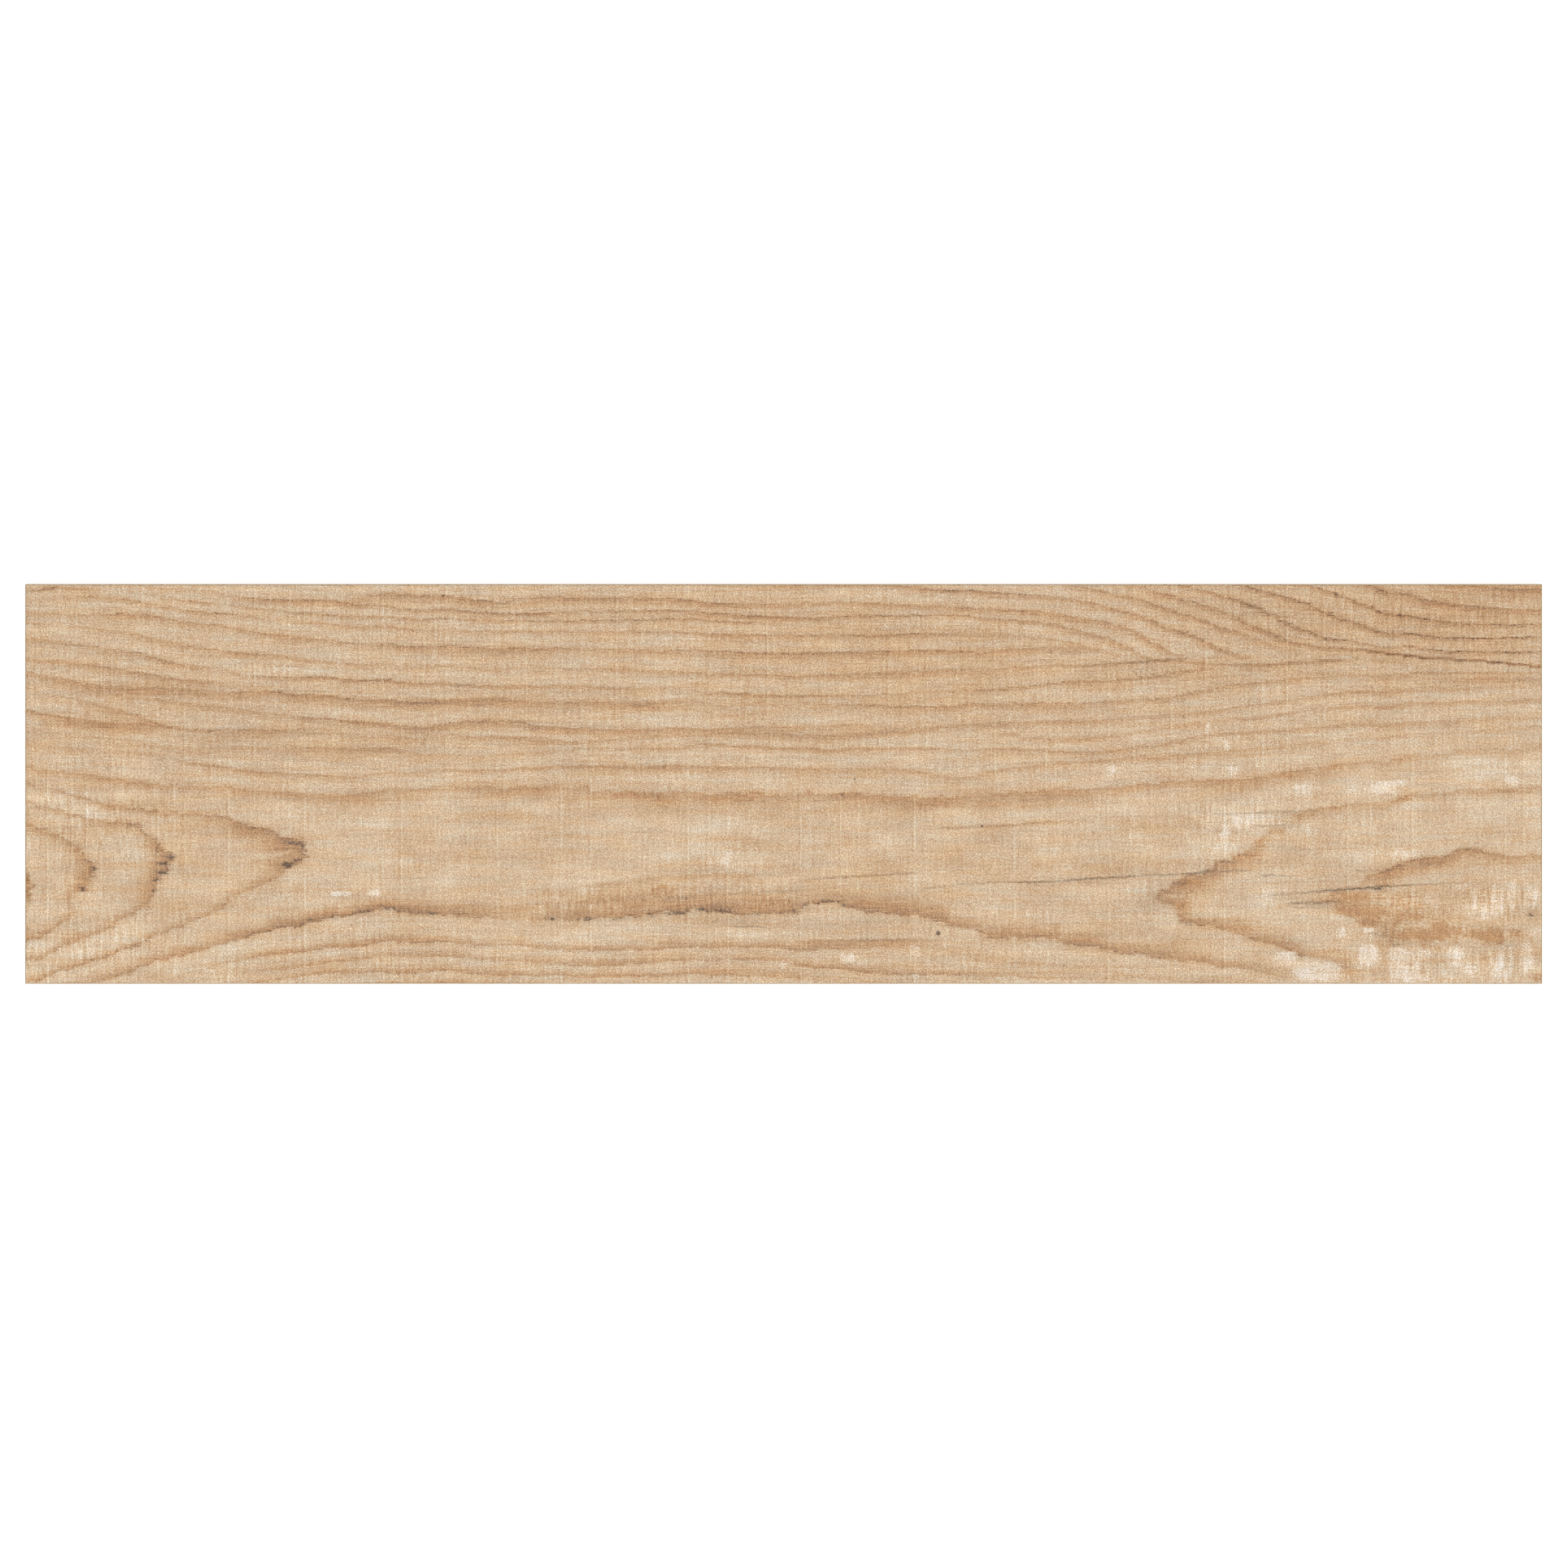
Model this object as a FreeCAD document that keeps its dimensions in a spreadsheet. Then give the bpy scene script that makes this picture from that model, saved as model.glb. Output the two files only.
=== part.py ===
import FreeCAD, Part
import os
from math import pi

import Sketcher

# Wood look porcelain plank tile, one dust-pressed and fired slab.
# Frame: origin at the middle of the back face's bearing plane, +X along the
# length, +Y across the width, +Z up out of the printed wear face. Millimetres.

NODE = "porcelain_plank"

doc = FreeCAD.newDocument("plank_tile")

# ---------------------------------------------------------------- driving sizes
SIZES = [
    # alias, value, what it is
    ("tile_length", 850.0, "finished length, ground edge to ground edge"),
    ("tile_width", 224.0, "finished width, ground edge to ground edge"),
    ("tile_thick", 9.5, "from the bearing plane of the back to the wear face"),
    ("face_arris", 0.6, "45 degree micro-bevel ground round the wear face"),
    ("back_arris", 1.2, "45 degree bevel round the back edge"),
    ("key_depth", 0.7, "depth of the keying cells pressed into the back"),
    ("key_draft", 40.0, "slope of the cells' walls from the pressing direction, degrees"),
    ("cells_long", 32.0, "cells along the length"),
    ("cells_wide", 8.0, "cells across the width"),
    ("cell_pitch", 26.0, "centre to centre of the cells, both ways"),
    ("rib_width", 3.0, "width of the bearing ribs between the cells' mouths"),
    ("cell_round", 3.0, "corner radius of a cell's mouth"),
]
sheet = doc.addObject("Spreadsheet::Sheet", "sizes")
for row, (alias, value, note) in enumerate(SIZES, start=1):
    sheet.set("A%d" % row, note)
    sheet.set("B%d" % row, repr(value))
    sheet.setAlias("B%d" % row, alias)
doc.recompute()
size = {alias: float(getattr(sheet, alias)) for alias, _, _ in SIZES}


def origin_plane(body, role):
    for feature in body.Origin.OriginFeatures:
        if feature.Role == role:
            return feature
    raise RuntimeError("no origin plane " + role)


# ------------------------------------------------------------------- the slab
body = doc.addObject("PartDesign::Body", "slab")
body.Label = NODE

outline = body.newObject("Sketcher::SketchObject", "outline")
outline.AttachmentSupport = [(origin_plane(body, "XY_Plane"), "")]
outline.MapMode = "FlatFace"
half_l, half_w = size["tile_length"] / 2, size["tile_width"] / 2
corner = [(-half_l, -half_w), (half_l, -half_w), (half_l, half_w), (-half_l, half_w)]
for i in range(4):
    a, b = corner[i], corner[(i + 1) % 4]
    outline.addGeometry(
        Part.LineSegment(FreeCAD.Vector(a[0], a[1], 0), FreeCAD.Vector(b[0], b[1], 0)), False
    )
for i in range(4):
    outline.addConstraint(Sketcher.Constraint("Coincident", i, 2, (i + 1) % 4, 1))
outline.addConstraint(Sketcher.Constraint("Horizontal", 0))
outline.addConstraint(Sketcher.Constraint("Horizontal", 2))
outline.addConstraint(Sketcher.Constraint("Vertical", 1))
outline.addConstraint(Sketcher.Constraint("Vertical", 3))
# the rectangle is symmetric about the origin
outline.addConstraint(Sketcher.Constraint("Symmetric", 0, 1, 2, 1, -1, 1))
k = outline.addConstraint(Sketcher.Constraint("DistanceX", 0, 1, 0, 2, size["tile_length"]))
outline.renameConstraint(k, "length")
outline.setExpression("Constraints.length", "sizes.tile_length")
k = outline.addConstraint(Sketcher.Constraint("DistanceY", 1, 1, 1, 2, size["tile_width"]))
outline.renameConstraint(k, "width")
outline.setExpression("Constraints.width", "sizes.tile_width")

slab = body.newObject("PartDesign::Pad", "pressed_slab")
slab.Profile = outline
slab.Length = size["tile_thick"]
slab.setExpression("Length", "sizes.tile_thick")
doc.recompute()


def edges_at(feature, z):
    """Names of the feature's edges that lie wholly at height z."""
    names = []
    for i, e in enumerate(feature.Shape.Edges, start=1):
        box = e.BoundBox
        if abs(box.ZMin - z) < 1e-6 and abs(box.ZMax - z) < 1e-6:
            names.append("Edge%d" % i)
    return names


# ground micro-bevel round the wear face
face_arris = body.newObject("PartDesign::Chamfer", "wear_face_arris")
face_arris.Base = (slab, edges_at(slab, size["tile_thick"]))
face_arris.Size = size["face_arris"]
face_arris.setExpression("Size", "sizes.face_arris")
doc.recompute()

# bevel round the back edge
back_arris = body.newObject("PartDesign::Chamfer", "back_edge_arris")
back_arris.Base = (face_arris, edges_at(face_arris, 0.0))
back_arris.Size = size["back_arris"]
back_arris.setExpression("Size", "sizes.back_arris")
doc.recompute()

# ------------------------------------------------------- keying cells of the back
# One rounded square cell at the -X, -Y corner of the field; the bearing ribs are
# what is left between the cells. The field is centred, so two ribs cross at the
# origin and the bearing plane there is solid.
cell = body.newObject("Sketcher::SketchObject", "key_cell")
cell.AttachmentSupport = [(origin_plane(body, "XY_Plane"), "")]
cell.MapMode = "FlatFace"
mouth = size["cell_pitch"] - size["rib_width"]
cx = -size["cell_pitch"] * (size["cells_long"] / 2 - 0.5)
cy = -size["cell_pitch"] * (size["cells_wide"] / 2 - 0.5)
x0, x1, y0, y1 = cx - mouth / 2, cx + mouth / 2, cy - mouth / 2, cy + mouth / 2
r = size["cell_round"]
V = FreeCAD.Vector
lines = [
    (V(x0 + r, y0, 0), V(x1 - r, y0, 0)),
    (V(x1, y0 + r, 0), V(x1, y1 - r, 0)),
    (V(x1 - r, y1, 0), V(x0 + r, y1, 0)),
    (V(x0, y1 - r, 0), V(x0, y0 + r, 0)),
]
centres = [V(x1 - r, y0 + r, 0), V(x1 - r, y1 - r, 0), V(x0 + r, y1 - r, 0), V(x0 + r, y0 + r, 0)]
starts = [-pi / 2, 0.0, pi / 2, pi]
for i in range(4):
    cell.addGeometry(Part.LineSegment(*lines[i]), False)
    circle = Part.Circle(centres[i], V(0, 0, 1), r)
    cell.addGeometry(Part.ArcOfCircle(circle, starts[i], starts[i] + pi / 2), False)
# geometry order: line 0, arc 1, line 2, arc 3, line 4, arc 5, line 6, arc 7
for i in range(8):
    cell.addConstraint(Sketcher.Constraint("Tangent", i, 2, (i + 1) % 8, 1))
cell.addConstraint(Sketcher.Constraint("Horizontal", 0))
cell.addConstraint(Sketcher.Constraint("Vertical", 2))
for i in (3, 5, 7):
    cell.addConstraint(Sketcher.Constraint("Equal", 1, i))
k = cell.addConstraint(Sketcher.Constraint("Radius", 1, r))
cell.renameConstraint(k, "round")
cell.setExpression("Constraints.round", "sizes.cell_round")
# the cell's walls, placed from the origin
k = cell.addConstraint(Sketcher.Constraint("DistanceX", 6, 1, -1, 1, -x0))
cell.renameConstraint(k, "far_x")
cell.setExpression(
    "Constraints.far_x", "sizes.cell_pitch * sizes.cells_long / 2 - sizes.rib_width / 2"
)
k = cell.addConstraint(Sketcher.Constraint("DistanceX", 2, 1, -1, 1, -x1))
cell.renameConstraint(k, "near_x")
cell.setExpression(
    "Constraints.near_x",
    "sizes.cell_pitch * (sizes.cells_long / 2 - 1) + sizes.rib_width / 2",
)
k = cell.addConstraint(Sketcher.Constraint("DistanceY", 0, 1, -1, 1, -y0))
cell.renameConstraint(k, "far_y")
cell.setExpression(
    "Constraints.far_y", "sizes.cell_pitch * sizes.cells_wide / 2 - sizes.rib_width / 2"
)
k = cell.addConstraint(Sketcher.Constraint("DistanceY", 4, 1, -1, 1, -y1))
cell.renameConstraint(k, "near_y")
cell.setExpression(
    "Constraints.near_y",
    "sizes.cell_pitch * (sizes.cells_wide / 2 - 1) + sizes.rib_width / 2",
)
doc.recompute()

before = back_arris.Shape.Volume
key = body.newObject("PartDesign::Pocket", "key_pocket")
key.Profile = cell
key.Length = size["key_depth"]
key.setExpression("Length", "sizes.key_depth")
key.Reversed = True  # from the back plane up into the slab
key.TaperAngle = -size["key_draft"]
key.setExpression("TaperAngle", "-sizes.key_draft")
doc.recompute()
one_cell = before - key.Shape.Volume
print("one keying cell takes %.1f mm3" % one_cell)
if not one_cell > 0.5 * mouth * mouth * size["key_depth"]:
    raise RuntimeError("the keying pocket cuts nothing: it points away from the slab")

pattern = body.newObject("PartDesign::LinearPattern", "key_pattern")
pattern.Originals = [key]
pattern.Direction = (cell, ["H_Axis"])
pattern.Direction2 = (cell, ["V_Axis"])
pattern.Mode = "Spacing"
pattern.Mode2 = "Spacing"
pattern.Offset = size["cell_pitch"]
pattern.setExpression("Offset", "sizes.cell_pitch")
pattern.Offset2 = size["cell_pitch"]
pattern.setExpression("Offset2", "sizes.cell_pitch")
pattern.Occurrences = int(size["cells_long"])
pattern.setExpression("Occurrences", "sizes.cells_long")
pattern.Occurrences2 = int(size["cells_wide"])
pattern.setExpression("Occurrences2", "sizes.cells_wide")
# every gap follows the pitch, the first one across the width included
pattern.Spacings = [-1.0] * (int(size["cells_long"]) - 1)
pattern.Spacings2 = [-1.0] * (int(size["cells_wide"]) - 1)
body.Tip = pattern
doc.recompute()

body.Placement = FreeCAD.Placement()
doc.recompute()

# ------------------------------------------------------------------- checks
for obj in doc.Objects:
    if any(word in obj.State for word in ("Invalid", "Error")):
        raise RuntimeError("%s is %s" % (obj.Label, obj.State))
shape = body.Shape
if shape.isNull() or not shape.isValid() or len(shape.Solids) != 1:
    raise RuntimeError("the slab isn't one valid solid")
cells = size["cells_long"] * size["cells_wide"]
cut = before - shape.Volume
print("cells cut: %.2f of %d" % (cut / one_cell, cells))
if abs(cut / one_cell - cells) > 0.01 * cells:
    raise RuntimeError("the pattern didn't cut every cell")
box = shape.BoundBox
for got, want in (
    (box.XLength, size["tile_length"]),
    (box.YLength, size["tile_width"]),
    (box.ZLength, size["tile_thick"]),
    (box.ZMin, 0.0),
    (box.XMin, -size["tile_length"] / 2),
    (box.YMin, -size["tile_width"] / 2),
):
    if abs(got - want) > 1e-3:
        raise RuntimeError("size is %.4f and should be %.4f" % (got, want))
print(
    "%s: %.1f x %.1f x %.2f mm, %.1f cm3, %d faces"
    % (body.Label, box.XLength, box.YLength, box.ZLength, shape.Volume / 1000, len(shape.Faces))
)

os.makedirs("parts", exist_ok=True)
shape.exportStep(os.path.join("parts", body.Label + ".step"))
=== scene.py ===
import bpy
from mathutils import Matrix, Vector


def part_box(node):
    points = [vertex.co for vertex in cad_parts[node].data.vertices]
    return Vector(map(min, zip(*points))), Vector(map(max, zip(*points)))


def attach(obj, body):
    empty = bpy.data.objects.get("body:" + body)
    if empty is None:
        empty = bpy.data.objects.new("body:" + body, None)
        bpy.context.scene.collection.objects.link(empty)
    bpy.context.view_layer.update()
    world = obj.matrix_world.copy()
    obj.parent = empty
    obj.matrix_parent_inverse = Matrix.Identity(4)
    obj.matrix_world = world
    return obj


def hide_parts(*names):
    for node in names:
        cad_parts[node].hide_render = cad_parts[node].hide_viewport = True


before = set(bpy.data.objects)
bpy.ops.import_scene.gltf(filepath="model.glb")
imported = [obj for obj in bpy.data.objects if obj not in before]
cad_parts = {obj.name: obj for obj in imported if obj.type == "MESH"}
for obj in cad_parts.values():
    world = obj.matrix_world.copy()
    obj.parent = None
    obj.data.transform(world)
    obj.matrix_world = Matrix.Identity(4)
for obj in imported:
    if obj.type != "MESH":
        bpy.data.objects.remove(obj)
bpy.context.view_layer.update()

import bmesh
import bpy
import numpy as np
from mathutils import Vector

NODE = "porcelain_plank"
L, W, T = 0.850, 0.224, 0.0095  # the slab, metres
ARRIS, BACK_ARRIS = 0.0006, 0.0012
low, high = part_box(NODE)
assert abs((high - low).x - L) < 1e-5 and abs((high - low).y - W) < 1e-5

# The printed figure is laid out in picture units, 1932 across the frame, x to the
# right and y down: the face fills X0..X1 by Y0..Y1. One unit is 0.4547 mm.
X0, X1, Y0, Y1 = 30.86, 1900.33, 719.53, 1212.46
UNIT = L / (X1 - X0)


def to_unit(x, y):
    return (x + L / 2) / L * (X1 - X0) + X0, (W / 2 - y) / W * (Y1 - Y0) + Y0


# --------------------------------------------------------------- growth rings
# Each ring line is the sharp outer edge of one year's dark late wood. Lines of the
# upper half, from the full-length one near the middle upwards: (x, y) points, then
# how strong the brown fade under the edge is, how wide it is, and how dark the
# edge itself is. The last three are numbers or (x, value) runs.
FULL = [(31, 944), (60, 950), (100, 955), (130, 958), (160, 964), (200, 968), (240, 968), (280, 971), (320, 975),
        (350, 977), (375, 979), (400, 981), (420, 980), (440, 977), (460, 975), (485, 972), (530, 970), (610, 969),
        (620, 971), (690, 968), (726, 970), (729, 974), (760, 974), (780, 976), (805, 978), (812, 980), (846, 976),
        (850, 979), (880, 979), (900, 977), (940, 977), (943, 981), (980, 978), (1000, 975), (1005, 978), (1020, 980),
        (1055, 977), (1080, 980), (1130, 982), (1180, 982), (1200, 981), (1230, 977), (1260, 977), (1300, 974),
        (1340, 971), (1380, 970), (1400, 969), (1420, 966), (1440, 962), (1480, 961), (1520, 961), (1560, 957),
        (1580, 952), (1600, 948), (1640, 944), (1680, 941), (1700, 939), (1720, 935), (1760, 930), (1800, 926),
        (1840, 924), (1901, 922)]
UPPER = [
    # phase, points, strength, width, edge
    (10, FULL, [(31, .6), (100, .72), (200, .9), (290, .85), (350, .75), (400, .7), (500, .6), (620, .6), (690, .6), (740, .88), (860, .82), (930, .82), (1000, .84), (1080, .76), (1150, .78), (1250, .78), (1400, .88), (1560, .78), (1650, .75), (1901, .4)],
     [(31, 8), (200, 8), (400, 12), (600, 11), (700, 14), (790, 21), (900, 18), (960, 16), (1100, 18), (1300, 14), (1400, 16), (1480, 15), (1600, 12), (1700, 10), (1901, 9)], .12),
    (11, [(31, 918), (100, 924), (160, 928), (200, 932), (240, 940), (280, 947), (320, 952), (358, 954), (400, 957), (440, 957),
          (480, 953), (540, 950), (600, 949), (660, 946), (700, 944), (740, 944), (800, 945), (880, 946), (960, 946), (1020, 948),
          (1100, 948), (1120, 949), (1140, 953), (1160, 957), (1180, 959), (1200, 956), (1215, 951), (1230, 948), (1260, 945),
          (1300, 941), (1340, 938), (1380, 935), (1440, 931), (1500, 927), (1520, 925), (1560, 921), (1600, 918), (1700, 908),
          (1760, 903), (1800, 901), (1840, 899), (1901, 895)],
     [(31, .15), (220, .2), (260, .7), (340, .6), (420, .5), (500, .3), (700, .65), (900, .6), (1080, .55), (1180, .45), (1300, .6), (1460, .65), (1560, .3), (1901, .2)], [(31, 6), (680, 6), (760, 8), (1040, 8), (1120, 6), (1901, 6)], [(31, 0), (240, .3), (300, .2), (500, 0), (900, .1), (1901, 0)]),
    (12, [(31, 903), (100, 906), (160, 914), (240, 923), (345, 922), (440, 921), (485, 922), (500, 926), (540, 931), (600, 932),
          (660, 926), (740, 920), (800, 922), (840, 920), (860, 917), (880, 916), (920, 919), (985, 921), (1020, 923), (1060, 922),
          (1100, 921), (1140, 922), (1240, 923), (1300, 927), (1340, 927), (1380, 925), (1400, 922), (1420, 919), (1440, 915),
          (1460, 910), (1480, 907), (1500, 904), (1540, 902), (1580, 899), (1640, 895), (1720, 893), (1760, 890), (1901, 883)],
     [(31, .2), (300, .25), (370, .5), (480, .6), (495, .35), (640, .25), (780, .5), (880, .6), (1040, .6), (1200, .35), (1260, .6), (1420, .5), (1520, .5), (1700, .45), (1901, .25)], [(31, 6), (400, 12), (560, 9), (640, 6), (1901, 6)], [(31, 0), (1000, .15), (1060, .25), (1200, .1), (1270, .3), (1440, .2), (1901, 0)]),
    (13, [(31, 876), (60, 881), (90, 887), (120, 890), (200, 897), (230, 902), (260, 906), (330, 906), (480, 914), (700, 917), (1000, 914), (1100, 911), (1180, 906), (1240, 904),
          (1260, 909), (1300, 912), (1340, 909), (1380, 907), (1400, 903), (1420, 900), (1460, 892), (1500, 886), (1560, 883),
          (1600, 876), (1640, 873), (1700, 870), (1760, 866), (1800, 865), (1840, 864), (1901, 862)],
     [(31, .6), (60, .7), (130, .75), (180, .6), (205, .2), (260, .1), (320, .05), (1200, 0), (1240, .45), (1340, .5), (1420, .4), (1500, .35), (1530, .6), (1600, .4), (1720, .6), (1901, .5)], [(31, 9), (130, 13), (220, 8), (1200, 5), (1901, 5)], [(31, .4), (70, .2), (120, 0), (1901, 0)]),
    (14, [(31, 850), (60, 856), (80, 860), (100, 864), (120, 869), (140, 875), (160, 880), (175, 885), (190, 892), (200, 895),
          (212, 897), (230, 900), (260, 901), (300, 900), (358, 900), (400, 901), (440, 905), (500, 908), (580, 908), (612, 907),
          (640, 910), (700, 914), (740, 912), (800, 907), (840, 905), (900, 903), (940, 904), (1020, 907), (1060, 905),
          (1100, 901), (1124, 900), (1160, 896), (1200, 892), (1250, 891), (1300, 889), (1340, 888), (1380, 886), (1410, 883),
          (1440, 880), (1480, 878), (1500, 876), (1520, 871), (1560, 866), (1600, 860), (1640, 855), (1680, 851), (1720, 851),
          (1760, 847), (1800, 849), (1840, 846), (1901, 842)],
     [(31, .15), (100, .25), (170, .45), (215, .55), (240, .4), (345, .5), (420, .3), (560, .45), (610, .6), (680, .5), (760, .35), (900, .6), (1020, .75), (1120, .8), (1180, .55), (1300, .55), (1380, .6), (1440, .4), (1600, .45), (1660, .7), (1740, .5), (1901, .2)],
     [(31, 9), (200, 18), (300, 11), (400, 9), (800, 6), (1050, 9), (1150, 7), (1350, 9), (1500, 5), (1901, 6)],
     [(31, .35), (80, .5), (140, .6), (165, .5), (200, .5), (260, .8), (280, .5), (345, .4), (400, .1), (1220, .2), (1245, .6), (1255, .1), (1901, .1)]),
    (15, [(31, 838), (100, 851), (120, 854), (160, 860), (200, 862), (240, 867), (280, 873), (345, 882), (360, 883), (380, 886),
          (400, 887), (440, 889), (450, 891), (470, 893), (500, 895), (545, 895), (560, 892), (575, 889), (615, 888), (640, 890),
          (660, 895), (700, 897), (740, 899), (780, 900), (880, 899), (940, 897), (985, 896), (1020, 896), (1060, 894),
          (1100, 894), (1160, 889), (1200, 886), (1300, 880), (1400, 874), (1500, 868), (1600, 853), (1901, 840)],
     [(31, .1), (100, .5), (240, .6), (345, .45), (400, .7), (470, .75), (560, .8), (620, .85), (680, .8), (780, .65), (880, .5), (985, .5), (1080, .4), (1140, .1), (1901, 0)],
     [(31, 6), (500, 8), (620, 11), (720, 8), (1901, 5)], [(31, 0), (240, .2), (345, .1), (370, .35), (470, .45), (560, .35), (620, .3), (660, .5), (720, .2), (1901, .1)]),
    (16, [(31, 828), (60, 834), (90, 841), (120, 846), (160, 848), (200, 848), (240, 851), (280, 855), (310, 853), (345, 853),
          (358, 856), (400, 858), (420, 860), (440, 862), (480, 864), (545, 864), (600, 862), (615, 861), (640, 864), (660, 866),
          (700, 865), (740, 865), (780, 867), (800, 867), (820, 866), (840, 864), (880, 866), (985, 868), (1020, 868), (1060, 869),
          (1124, 871), (1160, 872), (1180, 870), (1200, 867), (1260, 867), (1300, 868), (1340, 867), (1400, 864), (1440, 860),
          (1460, 857), (1480, 851), (1500, 847), (1520, 844), (1540, 842), (1580, 838), (1600, 836), (1640, 834), (1680, 836),
          (1720, 835), (1800, 838), (1840, 836), (1860, 837), (1901, 838)],
     [(31, .5), (100, .55), (160, .75), (220, .6), (280, .45), (340, .8), (400, .9), (480, .8), (600, .85), (700, .7), (800, .7), (860, .35), (985, .3), (1050, .4), (1120, .5), (1200, .6), (1260, .6), (1320, .4), (1440, .5), (1500, .45), (1600, .45), (1660, .35), (1820, .5), (1901, .4)],
     [(31, 9), (180, 18), (300, 10), (400, 10), (560, 12), (800, 11), (1000, 15), (1100, 11), (1250, 9), (1400, 6), (1901, 5)],
     [(31, .2), (110, .3), (160, .2), (215, .3), (270, .3), (350, .75), (410, .4), (480, .6), (560, .35), (612, .5), (700, .2), (790, .3), (860, .1), (1060, .5), (1110, .8), (1130, .3), (1190, .6), (1260, .4), (1320, .5), (1400, .45), (1440, .4), (1490, .7), (1520, .35), (1600, .3), (1700, .1), (1901, .3)]),
    (17, [(31, 812), (80, 817), (120, 821), (160, 828), (200, 834), (240, 839), (262, 841), (300, 846), (345, 848), (400, 850),
          (500, 853), (620, 853), (700, 855), (800, 856), (860, 854), (900, 853), (920, 855), (985, 857), (1060, 857),
          (1100, 854), (1140, 851), (1180, 850), (1220, 849), (1260, 846), (1300, 840), (1340, 838), (1380, 837), (1400, 835),
          (1440, 829), (1460, 826), (1490, 822), (1560, 824), (1640, 829), (1700, 832), (1740, 829), (1760, 828), (1800, 827),
          (1840, 827), (1901, 827)],
     [(31, .5), (120, .55), (170, .75), (240, .5), (300, .3), (400, .1), (840, .1), (900, .5), (985, .5), (1080, .35), (1140, .15), (1200, .4), (1280, .45), (1400, .5), (1480, .35), (1520, .15), (1700, .3), (1750, .55), (1800, .35), (1901, .2)],
     [(31, 7), (160, 9), (300, 6), (900, 7), (1340, 8), (1901, 5)],
     [(31, .1), (160, .4), (240, .2), (350, .1), (880, .3), (915, .7), (960, .5), (1060, .2), (1190, .4), (1240, .6), (1270, .3), (1360, .3), (1400, .5), (1480, .55), (1500, .1), (1690, .2), (1750, .5), (1800, .45), (1860, .1), (1901, .1)]),
    (18, [(31, 789), (60, 790), (100, 795), (130, 800), (150, 802), (165, 804), (180, 808), (195, 812), (205, 815), (220, 818),
          (240, 820), (262, 824), (280, 828), (300, 833), (345, 836), (400, 836), (440, 838), (485, 840), (520, 842), (580, 845),
          (640, 846), (700, 845), (740, 847), (780, 849), (840, 848), (870, 846), (1000, 843), (1100, 840), (1240, 838), (1300, 832), (1400, 824), (1490, 820), (1560, 820), (1640, 826), (1740, 826), (1901, 825)],
     [(31, .4), (100, .45), (160, .6), (210, .6), (260, .35), (300, .3), (345, .7), (440, .8), (490, .7), (580, .6), (680, .45), (780, .55), (860, .3), (900, 0), (1901, 0)],
     [(31, 6), (180, 8), (300, 5), (450, 5), (1901, 6)],
     [(31, .1), (125, .2), (150, .75), (200, .7), (220, .4), (270, .2), (330, .5), (380, .8), (420, .6), (480, .9), (490, .3), (580, .2), (740, .1), (900, 0), (1901, 0)]),
    (19, [(31, 765), (60, 768), (100, 773), (120, 775), (140, 779), (160, 782), (178, 785), (200, 789), (220, 793), (240, 797),
          (262, 800), (280, 804), (310, 806), (345, 809), (380, 814), (400, 816), (440, 819), (480, 820), (540, 822), (600, 823),
          (660, 823), (760, 824), (800, 827), (860, 831), (900, 831), (940, 832), (985, 834), (1020, 833), (1060, 831),
          (1100, 829), (1140, 828), (1180, 826), (1220, 825), (1260, 823), (1300, 820), (1340, 820), (1380, 818), (1400, 816),
          (1420, 814), (1440, 812), (1470, 815), (1500, 818), (1540, 819), (1580, 817), (1600, 815), (1640, 813), (1670, 811), (1700, 813), (1760, 819), (1901, 823)],
     [(31, .2), (100, .35), (170, .5), (262, .5), (300, .65), (345, .35), (420, .4), (560, .3), (760, .35), (900, .45), (1040, .5), (1130, .6), (1220, .35), (1340, .35), (1440, .35), (1540, .68), (1640, .72), (1680, .4), (1740, .05), (1901, 0)],
     [(31, 6), (300, 8), (600, 7), (900, 6), (1120, 8), (1300, 5), (1901, 6)],
     [(31, 0), (150, .3), (172, .7), (190, .2), (262, .4), (300, .6), (330, .2), (540, .3), (700, .1), (880, .3), (1050, .3), (1150, .5), (1200, .45), (1300, .1), (1390, .5), (1440, .6), (1480, .2), (1560, .35), (1640, .2), (1700, 0), (1901, 0)]),
    (20, [(31, 756), (100, 758), (120, 757), (150, 757), (180, 758), (200, 761), (220, 765), (240, 767), (262, 770), (280, 774),
          (300, 777), (320, 780), (345, 783), (380, 788), (440, 792), (480, 795), (540, 797), (615, 799), (700, 799), (760, 800),
          (820, 803), (880, 802), (940, 805), (1000, 805), (1060, 804), (1100, 802), (1140, 802), (1180, 803), (1210, 804),
          (1240, 800), (1300, 799), (1340, 798), (1355, 802), (1370, 808), (1390, 815), (1420, 813), (1440, 811), (1500, 817), (1600, 814), (1680, 810), (1760, 818), (1901, 822)],
     [(31, .3), (120, .4), (150, .8), (180, .7), (240, .5), (280, .4), (345, .7), (440, .55), (500, .6), (600, .7), (680, .55), (720, .4), (820, .45), (900, .55), (1000, .45), (1100, .6), (1190, .55), (1250, .5), (1300, .55), (1350, .4), (1380, 0), (1901, 0)],
     [(31, 6), (150, 9), (300, 7), (600, 11), (800, 8), (900, 10), (1100, 9), (1901, 5)],
     [(31, 0), (120, .2), (150, .75), (175, .7), (200, .2), (240, .45), (262, .5), (300, .3), (345, .4), (400, .2), (480, .6), (610, .5), (720, .3), (760, .4), (880, .5), (900, .7), (960, .6), (1060, .6), (1130, .7), (1200, .6), (1220, .1), (1901, 0)]),
    (21, [(31, 741), (60, 739), (110, 735), (140, 738), (165, 742), (180, 744), (200, 747), (220, 750), (240, 753), (262, 756), (300, 759),
          (345, 764), (380, 768), (400, 770), (440, 772), (480, 773), (520, 776), (600, 778), (700, 778), (760, 778), (800, 779),
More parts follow.
